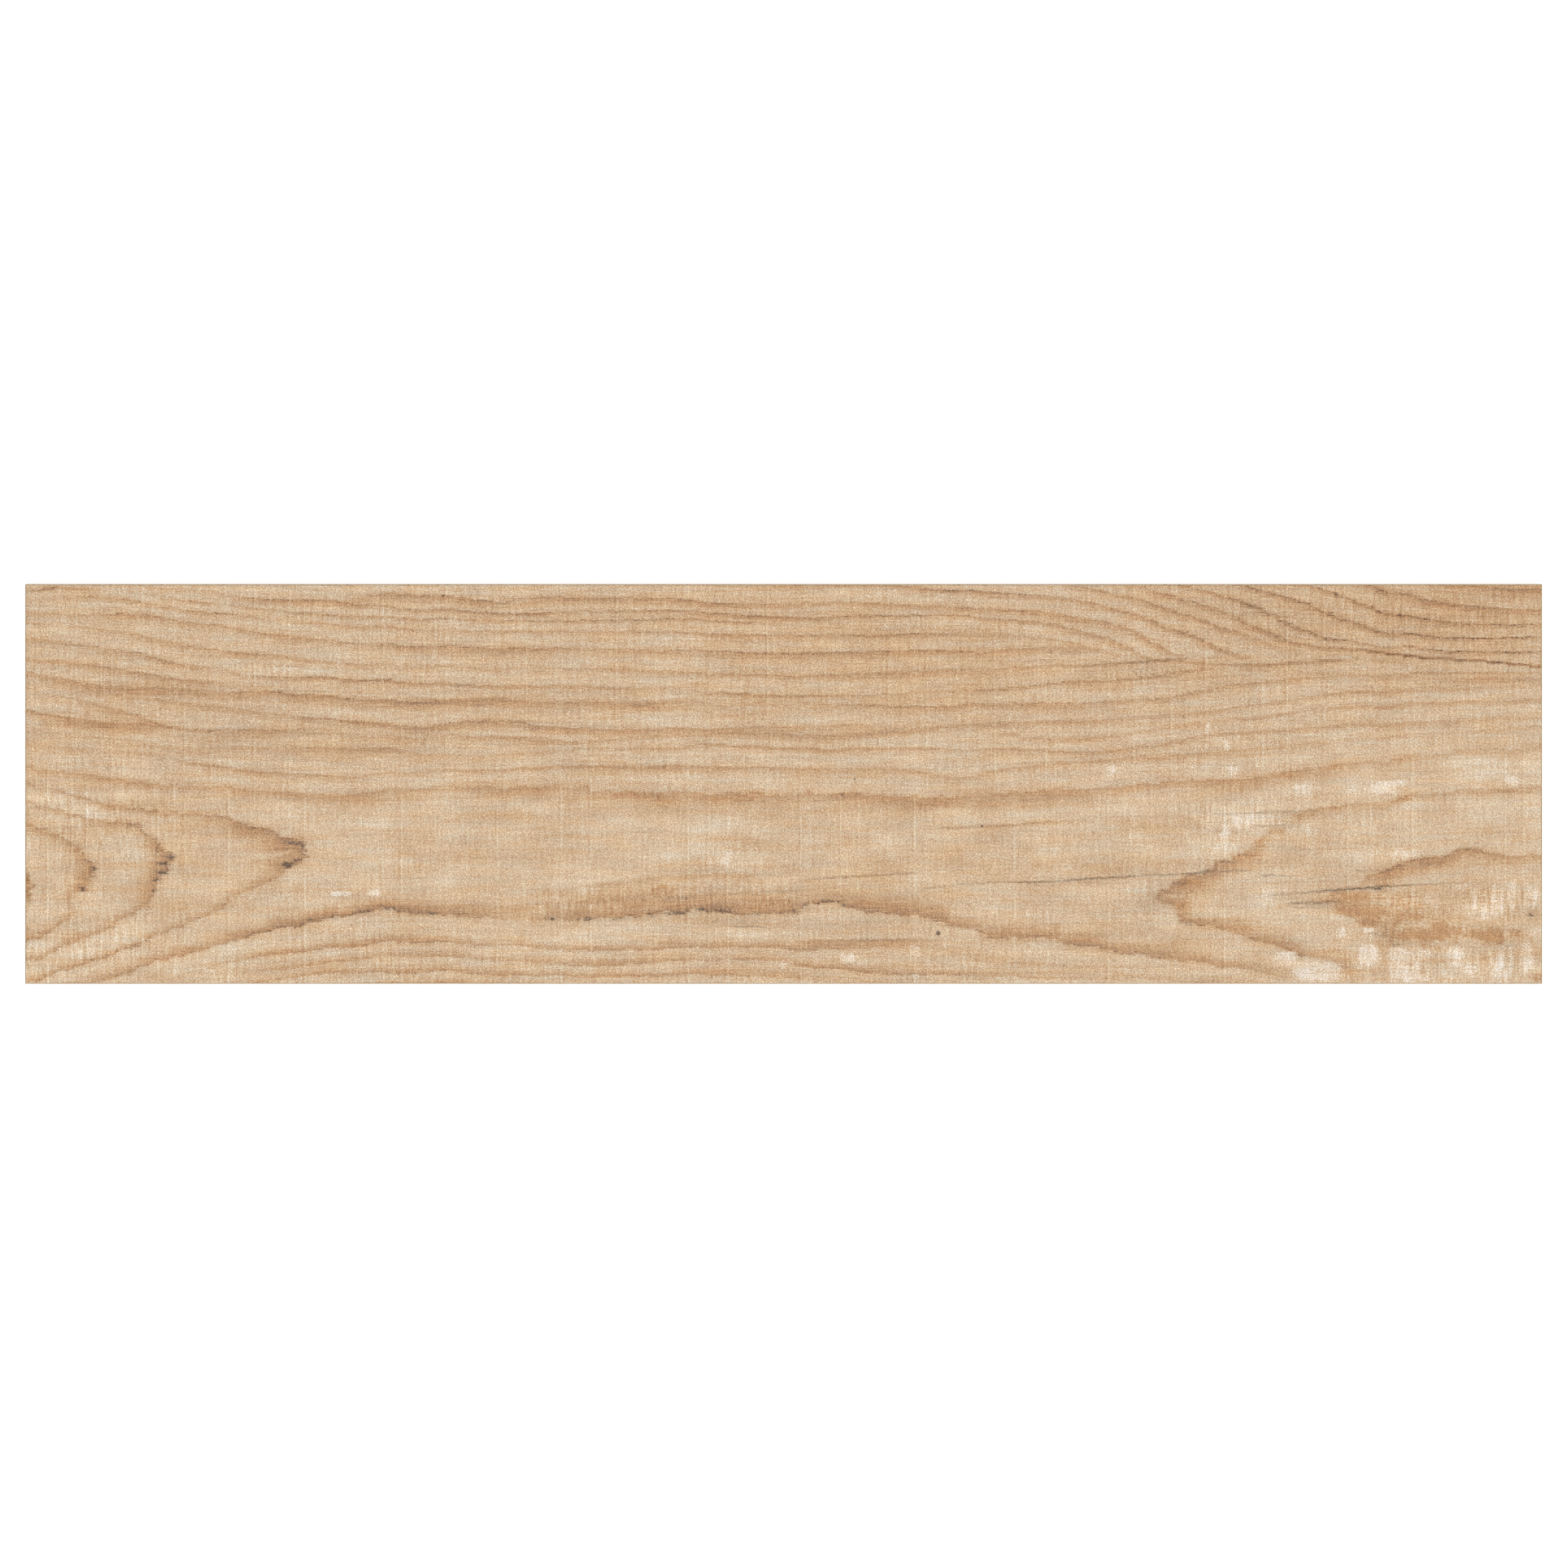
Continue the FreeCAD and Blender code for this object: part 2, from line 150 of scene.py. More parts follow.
          (860, 781), (900, 782), (985, 783), (1040, 783), (1080, 783), (1124, 781), (1160, 782), (1240, 781), (1280, 784),
          (1300, 787), (1320, 791), (1340, 795), (1360, 800), (1375, 807), (1390, 814), (1440, 810), (1500, 816), (1600, 813), (1680, 809), (1760, 817), (1901, 821)],
     [(31, .2), (120, .4), (165, .6), (190, .4), (250, .5), (290, .5), (345, .3), (380, .5), (460, .5), (540, .4), (700, .45), (760, .45), (860, .45), (900, .5), (985, .5), (1080, .5), (1160, .5), (1240, .35), (1300, .3), (1370, .3), (1385, 0), (1901, 0)],
     [(31, 5), (400, 5), (900, 6), (1100, 8), (1901, 4)],
     [(31, 0), (130, .3), (175, .7), (200, .2), (250, .4), (280, .75), (300, .5), (345, .1), (480, .3), (600, .2), (700, .3), (840, .5), (870, .7), (910, .6), (960, .3), (1080, .6), (1150, .6), (1200, .2), (1901, 0)]),
    (22, [(31, 729), (60, 724), (100, 725), (150, 729), (200, 734), (220, 738), (240, 741), (262, 744), (295, 748), (320, 750),
          (345, 753), (360, 756), (400, 759), (440, 760), (480, 761), (520, 762), (560, 763), (640, 765), (700, 765), (740, 764),
          (780, 764), (860, 764), (900, 766), (920, 767), (985, 769), (1040, 776), (1060, 776), (1100, 775), (1140, 776),
          (1180, 777), (1240, 775), (1300, 776), (1340, 786), (1380, 799), (1400, 811), (1440, 809), (1500, 815), (1600, 812), (1680, 808), (1760, 816), (1901, 820)],
     [(31, .3), (60, .7), (105, .6), (130, .1), (200, .2), (250, .5), (270, .2), (300, .4), (345, .3), (380, .65), (440, .55), (500, .5), (560, .4), (640, .35), (740, .5), (790, .5), (860, .38), (920, .35), (985, .1), (1040, .15), (1120, .2), (1200, .2), (1260, 0), (1901, 0)],
     4,
     [(31, 0), (55, .8), (105, .6), (125, 0), (240, .6), (262, .5), (275, .1), (345, .3), (400, .5), (480, .5), (600, .5), (640, .3), (740, .7), (780, .8), (860, .7), (900, .5), (985, .2), (1150, .3), (1260, 0), (1901, 0)]),
    (23, [(31, 721), (100, 722), (200, 725), (240, 728), (262, 731), (285, 735), (300, 737), (340, 740), (400, 741), (430, 743),
          (460, 747), (490, 750), (520, 751), (560, 753), (600, 755), (640, 757), (680, 755), (720, 753), (780, 753), (840, 754),
          (880, 756), (900, 757), (920, 759), (940, 760), (985, 762), (1000, 763), (1040, 760), (1060, 759), (1100, 759),
          (1180, 758), (1220, 762), (1240, 764), (1270, 766), (1300, 770), (1320, 775), (1340, 780), (1360, 786), (1380, 794),
          (1395, 800), (1405, 808), (1412, 812), (1440, 808), (1500, 814), (1600, 811), (1680, 807), (1760, 815), (1901, 819)],
     [(31, .1), (230, .2), (300, .5), (345, .8), (430, .8), (480, .4), (520, .5), (600, .65), (660, .7), (700, .4), (780, .6), (860, .5), (920, .7), (1000, .7), (1100, .6), (1180, .5), (1240, .7), (1280, .6), (1320, .7), (1400, .65), (1412, .4), (1425, 0), (1901, 0)],
     [(31, 5), (345, 8), (480, 5), (800, 5), (950, 7), (1100, 4), (1300, 7), (1901, 5)],
     [(31, 0), (250, .2), (300, .5), (345, .8), (410, .6), (460, .5), (500, .8), (540, .4), (600, .7), (680, .6), (700, .3), (780, .8), (860, .6), (900, .7), (920, .9), (960, .6), (985, .4), (1040, .4), (1080, .8), (1110, .5), (1190, .5), (1210, .1), (1250, .8), (1275, .7), (1290, .2), (1380, .5), (1400, .3), (1901, 0)]),
    (24, [(31, 690), (240, 708), (350, 722), (440, 735), (480, 733), (500, 732), (540, 735), (570, 737), (600, 741), (620, 742), (650, 739),
          (660, 736), (700, 737), (740, 737), (780, 737), (820, 739), (860, 742), (900, 745), (940, 746), (985, 744), (1020, 743),
          (1060, 743), (1100, 745), (1140, 747), (1180, 749), (1220, 750), (1240, 753), (1270, 753), (1300, 757), (1320, 760),
          (1340, 763), (1360, 766), (1380, 772), (1395, 777), (1405, 783), (1420, 793), (1430, 797), (1440, 803), (1450, 808),
          (1500, 813), (1600, 810), (1680, 806), (1760, 814), (1901, 818)],
     [(31, 0), (430, .1), (480, .75), (540, .85), (600, .6), (640, .3), (660, .7), (740, .8), (820, .85), (860, .8), (900, .55), (940, .4), (1040, .3), (1100, .6), (1180, .6), (1230, .5), (1280, .7), (1320, .6), (1360, .7), (1440, .6), (1452, .3), (1465, 0), (1901, 0)],
     [(31, 6), (500, 10), (800, 9), (900, 6), (1350, 8), (1901, 6)],
     [(31, 0), (450, .1), (490, .6), (540, .7), (565, .9), (575, .4), (600, .7), (640, .2), (700, .3), (840, .4), (900, .5), (1060, .2), (1160, .2), (1240, .5), (1270, .8), (1290, .2), (1320, .4), (1360, .45), (1400, .5), (1430, .3), (1901, 0)]),
    (25, [(31, 670), (500, 700), (900, 719), (1000, 721), (1060, 720), (1100, 721), (1140, 726), (1160, 728), (1200, 728), (1240, 731),
          (1280, 735), (1300, 736), (1340, 741), (1360, 747), (1380, 753), (1400, 759), (1420, 765), (1440, 774), (1460, 779),
          (1480, 788), (1495, 796), (1500, 799), (1520, 806), (1532, 810), (1600, 809), (1680, 805), (1760, 813), (1901, 817)],
     [(31, 0), (900, .1), (985, .6), (1100, .6), (1160, .8), (1220, .8), (1280, .7), (1320, .5), (1380, .6), (1420, .7), (1460, .7), (1500, .8), (1532, .5), (1550, 0), (1901, 0)],
     [(31, 6), (1200, 7), (1500, 7), (1901, 6)],
     [(31, 0), (1000, .2), (1060, .4), (1120, .2), (1170, .7), (1240, .6), (1280, .7), (1340, .3), (1380, .5), (1440, .3), (1460, .7), (1500, .5), (1530, .1), (1901, 0)]),
    (26, [(31, 650), (1200, 700), (1300, 719), (1320, 722), (1340, 724), (1360, 729), (1380, 735), (1400, 739), (1420, 743),
          (1440, 751), (1460, 758), (1480, 763), (1500, 772), (1515, 776), (1540, 784), (1560, 791), (1575, 797), (1600, 804),
          (1640, 804), (1680, 803), (1760, 812), (1901, 816)],
     [(31, 0), (1290, .2), (1340, .5), (1400, .55), (1450, .62), (1515, .58), (1560, .5), (1590, .25), (1610, 0), (1901, 0)],
     [(31, 6), (1440, 7), (1901, 6)],
     [(31, 0), (1310, .1), (1350, .6), (1390, .7), (1410, .5), (1450, .6), (1500, .7), (1515, .8), (1525, .1), (1570, .2), (1901, 0)]),
    (27, [(31, 630), (1200, 680), (1380, 718), (1400, 724), (1420, 728), (1440, 733), (1460, 739), (1480, 745), (1500, 750),
          (1520, 759), (1535, 767), (1550, 774), (1560, 778), (1580, 788), (1600, 793), (1620, 797), (1650, 800), (1680, 805),
          (1700, 808), (1720, 810), (1745, 812), (1760, 814), (1800, 818), (1830, 820), (1860, 820), (1901, 822)],
     [(31, 0), (1380, .3), (1440, .65), (1460, .7), (1500, .5), (1550, .7), (1600, .62), (1640, .65), (1700, .8), (1745, .85), (1850, .85), (1901, .7)],
     [(31, 6), (1700, 7), (1901, 7)],
     [(31, 0), (1400, .2), (1450, .3), (1485, .7), (1500, .2), (1550, .35), (1595, .7), (1620, .3), (1640, .3), (1700, .75), (1740, .75), (1760, .3), (1800, .5), (1855, .8), (1901, .5)]),
    (28, [(31, 610), (1200, 660), (1440, 718), (1460, 722), (1480, 727), (1500, 733), (1520, 738), (1540, 745), (1552, 749), (1560, 755),
          (1575, 761), (1590, 770), (1600, 775), (1620, 781), (1640, 788), (1672, 793), (1700, 797), (1740, 798), (1760, 800),
          (1790, 803), (1840, 804), (1901, 804)],
     [(31, 0), (1440, .3), (1500, .6), (1550, .9), (1575, .5), (1600, .7), (1640, .6), (1670, .6), (1700, .4), (1740, .5), (1800, .4), (1901, .4)],
     [(31, 4.5), (1901, 4.5)],
     [(31, 0), (1450, 0.25), (1500, 0.62), (1520, 0.75), (1552, 1.12), (1570, 1.12), (1590, 0.88), (1605, 1), (1640, 1.12), (1672, 1), (1690, 0.25), (1740, 0.5), (1770, 0.88), (1800, 1.25), (1825, 0.88), (1840, 0.5), (1860, 1.25), (1901, 0.75)]),
    (29, [(31, 590), (1200, 640), (1510, 718), (1530, 720), (1545, 725), (1560, 729), (1580, 734), (1600, 740), (1610, 744), (1620, 749), (1640, 757),
          (1650, 763), (1665, 768), (1680, 773), (1700, 778), (1720, 781), (1760, 784), (1800, 786), (1840, 787), (1860, 785), (1901, 786)],
     [(31, 0), (1510, .4), (1530, .65), (1560, .7), (1600, .6), (1650, .68), (1700, .66), (1740, .58), (1800, .35), (1901, .35)],
     [(31, 5), (1700, 6), (1901, 4.5)],
     [(31, 0), (1525, 1.12), (1545, 0.62), (1565, 1.25), (1610, 1.25), (1618, 0.38), (1650, 1.12), (1690, 0.88), (1720, 0.88), (1745, 1.5), (1760, 1.1), (1800, 1.6), (1885, 1.6), (1895, 0.25), (1901, 0.25)]),
    (30, [(31, 570), (1200, 620), (1590, 717), (1600, 719), (1620, 724), (1640, 731), (1660, 739), (1680, 747), (1700, 753), (1720, 757), (1740, 761),
          (1760, 763), (1780, 766), (1800, 769), (1820, 770), (1860, 770), (1901, 771)],
     [(31, 0), (1590, .4), (1640, .6), (1700, .6), (1760, .45), (1800, .35), (1901, .3)],
     [(31, 4.5), (1901, 4.5)],
     [(31, 0), (1600, 0.5), (1640, 1), (1660, 1.12), (1700, 1), (1740, 1.3), (1800, 1.3), (1825, 0.7), (1865, 1.2), (1901, 0.8)]),
    (31, [(31, 550), (1200, 600), (1660, 715), (1680, 720), (1690, 722), (1700, 726), (1720, 731), (1740, 734), (1760, 739), (1790, 745), (1820, 748),
          (1860, 751), (1901, 754)],
     [(31, 0), (1660, .5), (1720, .7), (1760, .7), (1820, .6), (1901, .5)],
     [(31, 5), (1901, 9)],
     [(31, 0), (1680, .8), (1700, .8), (1730, 1), (1745, 1), (1760, 0.4), (1790, .75), (1820, 0.5), (1901, 0.4)]),
    (32, [(31, 520), (1200, 570), (1740, 708), (1790, 719), (1840, 724), (1901, 727)],
     [(31, 0), (1740, .5), (1901, .7)], [(31, 6), (1901, 12)], [(31, 0), (1800, .4), (1901, .5)]),
]

# The long lower line, outer side down, and the lines below it.
LOWER_FULL = [(31, 1232), (80, 1220), (125, 1207), (150, 1201), (165, 1196), (175, 1191), (190, 1184), (200, 1181), (215, 1177),
              (230, 1173), (245, 1169), (262, 1165), (281, 1162), (285, 1159), (300, 1155), (315, 1150), (330, 1147), (345, 1142),
              (360, 1141), (375, 1140), (380, 1137), (395, 1134), (400, 1132), (420, 1128), (440, 1124), (460, 1121), (478, 1119),
              (490, 1121), (510, 1123), (530, 1125), (545, 1128), (600, 1129), (640, 1131), (690, 1132), (728, 1132), (731, 1129),
              (760, 1129), (780, 1129), (804, 1126), (818, 1124), (822, 1123), (846, 1128), (849, 1122), (880, 1121), (904, 1126),
              (920, 1125), (940, 1126), (960, 1125), (983, 1122), (987, 1117), (996, 1115), (1000, 1112), (1020, 1111),
              (1034, 1113), (1040, 1118), (1060, 1119), (1070, 1123), (1080, 1123), (1100, 1124), (1120, 1127), (1130, 1127),
              (1150, 1131), (1160, 1135), (1170, 1139), (1185, 1143), (1208, 1146), (1214, 1151), (1225, 1154), (1250, 1155),
              (1300, 1156), (1306, 1161), (1325, 1163), (1345, 1163), (1360, 1168), (1375, 1170), (1380, 1174), (1400, 1176),
              (1430, 1178), (1450, 1181), (1480, 1184), (1498, 1190), (1520, 1191), (1540, 1193), (1560, 1199), (1575, 1202),
              (1600, 1207), (1640, 1216), (1700, 1226), (1901, 1240)]
LOWER = [
    (10, LOWER_FULL,
     [(31, .7), (150, .95), (200, 1.2), (300, 1.35), (345, 1.4), (440, 1.3), (500, 1.1), (560, 1), (640, .6), (720, .62), (790, .85), (850, 1.05), (900, 1), (960, .85), (1060, 1.3), (1100, 1.4), (1160, 1.35), (1210, 1), (1300, 1.05), (1400, .95), (1500, .85), (1540, .7), (1600, .35), (1640, .15), (1901, 0)],
     [(31, 9), (300, 11), (450, 13), (600, 16), (660, 24), (820, 26), (900, 26), (960, 20), (1040, 17), (1120, 18), (1240, 20), (1340, 16), (1500, 9), (1901, 8)],
     [(31, .2), (170, .4), (280, .4), (300, .9), (345, .7), (385, 1), (415, 1), (445, 1), (482, .9), (500, .5), (530, .8), (560, .65), (585, .3), (640, .1), (690, .3), (725, .5), (760, .4), (800, .8), (830, .9), (905, .9), (920, .5), (970, .6), (1000, .9), (1040, .8), (1060, .4), (1075, .8), (1100, .3), (1180, .4), (1240, .5), (1300, .35), (1320, .7), (1360, .7), (1400, .6), (1450, .4), (1490, .5), (1560, .3), (1700, 0), (1901, 0)]),
    (11, [(31, 1250), (200, 1212), (262, 1190), (300, 1182), (330, 1177), (358, 1174), (375, 1173), (400, 1169), (440, 1165), (460, 1162),
          (480, 1160), (500, 1159), (540, 1160), (560, 1162), (600, 1164), (640, 1164), (660, 1167), (690, 1169), (740, 1170),
          (780, 1169), (800, 1170), (846, 1168), (900, 1166), (960, 1166), (972, 1169), (1000, 1171), (1010, 1168), (1040, 1169),
          (1080, 1165), (1124, 1163), (1160, 1170), (1230, 1188), (1300, 1190), (1385, 1193), (1450, 1197), (1500, 1203), (1560, 1211), (1600, 1218), (1901, 1250)],
     [(31, .1), (240, .1), (290, .35), (345, .85), (400, .88), (460, .82), (500, .92), (560, .75), (640, .68), (700, .7), (800, .7), (900, .66), (970, .72), (1040, .7), (1100, .42), (1130, .2), (1160, .1), (1200, .2), (1290, .28), (1350, .1), (1901, 0)],
     [(31, 6), (345, 8), (900, 10), (1901, 8)], [(31, 0), (345, .3), (400, .3), (500, .3), (700, .2), (846, .4), (900, .1), (1000, .3), (1060, .1), (1240, .1), (1901, 0)]),
    (12, [(31, 1262), (200, 1216), (240, 1199), (300, 1197), (340, 1195), (358, 1192), (380, 1190), (400, 1187), (420, 1184), (440, 1181),
          (460, 1179), (480, 1177), (520, 1177), (560, 1178), (600, 1181), (660, 1184), (700, 1187), (727, 1189), (760, 1188),
          (800, 1185), (846, 1183), (880, 1182), (900, 1181), (940, 1182), (960, 1183), (975, 1187), (1000, 1191), (1040, 1194),
          (1060, 1197), (1080, 1198), (1110, 1200), (1160, 1200), (1220, 1201), (1260, 1202), (1280, 1205), (1340, 1204), (1400, 1204), (1440, 1206),
          (1500, 1211), (1901, 1260)],
     [(31, 0), (230, .05), (280, .15), (320, .4), (345, .55), (440, .62), (520, .6), (600, .6), (700, .55), (820, .72), (900, .62), (985, .68), (1040, .68), (1120, .55), (1200, .55), (1300, .25), (1440, .3), (1901, 0)],
     [(31, 5), (345, 7), (700, 9), (1000, 8), (1901, 6)], [(31, 0), (846, .3), (900, .3), (960, .2), (1060, .3), (1110, .7), (1160, .6), (1200, .4), (1280, .3), (1901, 0)]),
    (13, [(31, 1280), (200, 1236), (300, 1212), (358, 1204), (400, 1198), (440, 1197), (470, 1197), (480, 1199), (500, 1197), (545, 1195), (560, 1197),
          (600, 1199), (640, 1201), (700, 1200), (720, 1203), (740, 1201), (780, 1202), (820, 1202), (846, 1200), (940, 1201), (985, 1204),
          (1020, 1208), (1060, 1213), (1901, 1280)],
     [(31, 0), (300, .2), (380, .45), (480, .68), (545, .64), (620, .55), (720, .58), (820, .6), (900, .85), (960, .5), (1020, .3), (1901, 0)],
     [(31, 5), (460, 8), (600, 8), (720, 6), (860, 9), (1901, 6)], [(31, 0), (470, .5), (495, .5), (600, .3), (720, .3), (846, .2), (1901, 0)]),
    (14, [(31, 1300), (300, 1232), (440, 1214), (500, 1212), (560, 1211), (620, 1213), (900, 1222), (1901, 1300)],
     [(31, 0), (420, .2), (500, .8), (600, .6), (660, .3), (1901, .1)], 5, [(31, 0), (480, .3), (520, .5), (590, .5), (620, 0), (1901, 0)]),
]

# The nested arches of the middle. Each is an open line that runs off the tile at its
# own end; the fade is inside it.
ARCHES = [
    # phase, side it opens to, points, strength, width, edge (the runs go by point number)
    (6, "left", [(0, 1076), (31, 1078), (35, 1084), (37, 1092), (36, 1104), (33, 1112), (0, 1116)], .9, 7, .8),
    (7, "left", [(0, 1012), (31, 1016), (45, 1019), (54, 1021), (60, 1026), (72, 1032), (82, 1037), (92, 1043), (99, 1047),
                 (104, 1053), (109, 1060), (115, 1068), (117, 1071), (115, 1078), (110, 1085), (106, 1092), (103, 1097), (97, 1099), (88, 1103),
                 (84, 1108), (87, 1115), (93, 1122), (88, 1128), (76, 1138), (62, 1148), (45, 1154), (31, 1160), (0, 1170)],
     [(0, .6), (5, .8), (9, .95), (16, 1.1), (18, .8), (21, .7), (24, .9), (27, .9)], [(0, 7), (9, 14), (12, 22), (15, 18), (20, 8), (27, 6)],
     [(0, .3), (8, .5), (10, .8), (12, 1), (14, .6), (16, .9), (18, .4), (20, .2), (24, .3), (27, .4)]),
    (8, "left", [(0, 984), (31, 988), (45, 992), (57, 995), (61, 998), (75, 1000), (85, 1004), (100, 1006), (110, 1010), (125, 1012),
                 (140, 1013), (155, 1016), (171, 1018), (174, 1025), (186, 1031), (194, 1038), (197, 1042), (204, 1047),
                 (207, 1053), (213, 1057), (208, 1062), (206, 1068), (202, 1073), (198, 1079), (194, 1083), (191, 1091), (189, 1100),
                 (184, 1109), (180, 1117), (173, 1122), (160, 1129), (148, 1135), (140, 1141), (125, 1147), (110, 1153),
                 (95, 1159), (80, 1166), (65, 1173), (50, 1179), (31, 1184), (0, 1192)],
     [(0, .5), (7, .8), (12, .9), (16, 1.15), (24, 1.1), (28, .8), (31, .85), (34, .85), (37, .95), (40, .95)],
     [(0, 6), (12, 9), (16, 22), (22, 26), (26, 18), (30, 10), (40, 6)],
     [(0, .2), (4, .4), (7, .6), (9, .4), (12, .6), (16, .8), (19, 1), (24, .9), (27, .5), (30, .4), (32, .3), (35, .6), (38, .5), (40, .5)]),
    (9, "left", [(0, 962), (31, 967), (60, 972), (80, 979), (100, 983), (120, 989), (145, 995), (160, 997), (172, 998), (190, 1001),
                 (240, 1002), (260, 1004), (279, 1007), (283, 1011), (295, 1014), (303, 1018), (320, 1021), (336, 1024), (342, 1029), (347, 1034),
                 (362, 1034), (372, 1036), (376, 1040), (376, 1056), (370, 1060), (358, 1066), (350, 1071), (345, 1078), (340, 1083), (325, 1087), (310, 1094), (297, 1101),
                 (284, 1106), (280, 1117), (262, 1123), (240, 1131), (225, 1138), (205, 1146), (195, 1151), (176, 1158), (172, 1165),
                 (160, 1168), (145, 1173), (125, 1180), (105, 1187), (85, 1193), (65, 1200), (45, 1207), (31, 1211), (0, 1220)],
     [(0, .4), (3, .7), (8, .8), (10, .8), (12, .9), (16, 1.1), (22, 1.1), (26, 1), (29, .8), (33, .7), (36, .75), (40, 1), (44, 1), (49, .9)],
     [(0, 5), (10, 7), (15, 22), (22, 34), (26, 26), (29, 12), (33, 7), (49, 6)],
     [(0, .1), (4, .3), (9, .3), (12, .7), (15, .8), (18, 1), (21, 1), (25, 1), (26, .8), (28, .4), (33, .3), (38, .5), (40, 1), (41, .7), (43, .9), (45, .6), (49, .5)]),
    (9, "right", [(1960, 968), (1901, 970), (1870, 971), (1840, 974), (1815, 976), (1808, 972), (1790, 975), (1780, 977), (1752, 978), (1737, 981),
                  (1725, 985), (1715, 988), (1700, 990), (1680, 993), (1640, 996), (1620, 998), (1603, 1001), (1598, 1008), (1590, 1013),
                  (1580, 1018), (1562, 1020), (1560, 1028), (1555, 1034), (1545, 1037), (1541, 1044), (1534, 1050), (1519, 1056),
                  (1516, 1062), (1508, 1060), (1500, 1062), (1496, 1068), (1486, 1075), (1474, 1079), (1458, 1080), (1450, 1086),
                  (1444, 1092), (1438, 1096), (1431, 1098), (1427, 1103), (1432, 1108), (1443, 1112), (1449, 1120), (1454, 1130), (1461, 1136),
                  (1478, 1138), (1490, 1139), (1500, 1142), (1515, 1147), (1530, 1150), (1539, 1154), (1550, 1158), (1560, 1161),
                  (1575, 1164), (1590, 1168), (1600, 1173), (1604, 1177), (1625, 1179), (1640, 1182), (1652, 1187), (1661, 1197),
                  (1665, 1210), (1668, 1240)],
     [(0, .6), (5, .7), (12, .65), (15, .7), (18, .35), (22, .55), (26, .9), (29, 1), (33, 1), (38, 1), (44, 1), (48, .8), (52, .9), (56, .75), (59, .7), (61, .5)],
     [(0, 8), (12, 8), (24, 16), (33, 26), (38, 20), (44, 14), (50, 13), (54, 13), (61, 9)],
     [(0, .1), (10, .3), (12, 0), (20, .1), (24, .3), (26, .7), (28, .8), (31, .5), (34, .6), (38, .3), (43, .5), (45, .3), (50, .4), (54, .7), (57, .2), (61, 0)]),
    (8, "right", [(1960, 1064), (1901, 1058), (1893, 1054), (1860, 1055), (1840, 1053), (1830, 1050), (1820, 1048), (1812, 1046), (1799, 1047), (1794, 1050),
                  (1783, 1053), (1775, 1057), (1765, 1056), (1754, 1056), (1750, 1060), (1735, 1064), (1722, 1066), (1712, 1071),
                  (1699, 1074), (1690, 1080), (1680, 1088), (1672, 1094), (1650, 1096), (1643, 1100), (1640, 1107), (1642, 1114), (1647, 1122),
                  (1652, 1130), (1666, 1131), (1674, 1137), (1684, 1142), (1698, 1143), (1704, 1150), (1712, 1154), (1722, 1162), (1745, 1165), (1780, 1168),
                  (1800, 1170), (1850, 1166), (1901, 1160), (1960, 1158)],
     [(0, 1.1), (3, 1.1), (8, 1.1), (12, 1.2), (17, 1.1), (20, .6), (25, .5), (29, .5), (33, .2), (38, .1), (41, .1)],
     [(0, 9), (8, 10), (14, 14), (19, 18), (24, 16), (30, 16), (34, 16), (41, 16)],
     [(0, .1), (2, .3), (4, .3), (8, .4), (10, .5), (13, .45), (15, .7), (18, .5), (20, .2), (24, .05), (30, .3), (33, .1), (41, 0)]),
]

# Fine dark checks in the print, nearly along the grain: points, then (x, strength).
CHECKS = [
    ([(985, 1084), (1040, 1081), (1080, 1079), (1127, 1075)], [(985, .3), (1040, .5), (1127, .3)]),
    ([(1140, 1095), (1180, 1090), (1220, 1087), (1270, 1087), (1300, 1086), (1330, 1084), (1390, 1080), (1450, 1077), (1475, 1076), (1492, 1073)],
     [(1140, .3), (1200, .4), (1250, .5), (1260, .9), (1282, .9), (1300, .4), (1328, .9), (1390, .9), (1410, .5), (1456, .7), (1492, 1)]),
    ([(1160, 1020), (1200, 1019), (1240, 1017), (1280, 1014), (1340, 1010)], [(1160, .3), (1240, .4), (1340, .2)]),
    ([(900, 1101), (940, 1099), (980, 1098)], [(900, .4), (980, .3)]),
    ([(1570, 1103), (1600, 1101), (1625, 1098), (1660, 1096), (1695, 1093), (1712, 1092), (1771, 1089), (1820, 1087)],
     [(1570, .4), (1610, .55), (1628, .9), (1660, 1.2), (1700, 1.3), (1715, .9), (1760, .4), (1820, .2)]),
    ([(1500, 1073), (1535, 1073)], [(1500, .6), (1535, .4)]),
    ([(1560, 1079), (1590, 1079)], [(1560, .8), (1590, .5)]),
    ([(1500, 1003), (1560, 1001), (1620, 999)], [(1500, .3), (1560, .5), (1620, .3)]),
    ([(1550, 1018), (1590, 1017)], [(1550, .5), (1590, .3)]),
    ([(1340, 820), (1400, 816), (1440, 812), (1462, 811)], [(1340, .3), (1400, .5), (1440, .6), (1462, .4)]),
    ([(985, 1160), (1040, 1159), (1158, 1158)], [(985, .3), (1080, .5), (1158, .3)]),
    ([(1592, 1113), (1646, 1111)], [(1592, .7), (1646, .7)]),
    ([(1599, 1118), (1631, 1117)], [(1599, .5), (1631, .4)]),
    ([(908, 1142), (937, 1142)], [(908, .6), (937, .5)]),
    ([(1674, 1073), (1711, 1072)], [(1674, .4), (1711, .4)]),
    ([(1690, 1150), (1730, 1158)], [(1690, .5), (1730, .4)]),
    ([(345, 850), (400, 852)], [(345, .3), (400, .2)]),
    ([(560, 845), (582, 844)], [(560, .6), (582, .4)]),
    ([(120, 945), (230, 950)], [(120, .2), (230, .1)]),
]

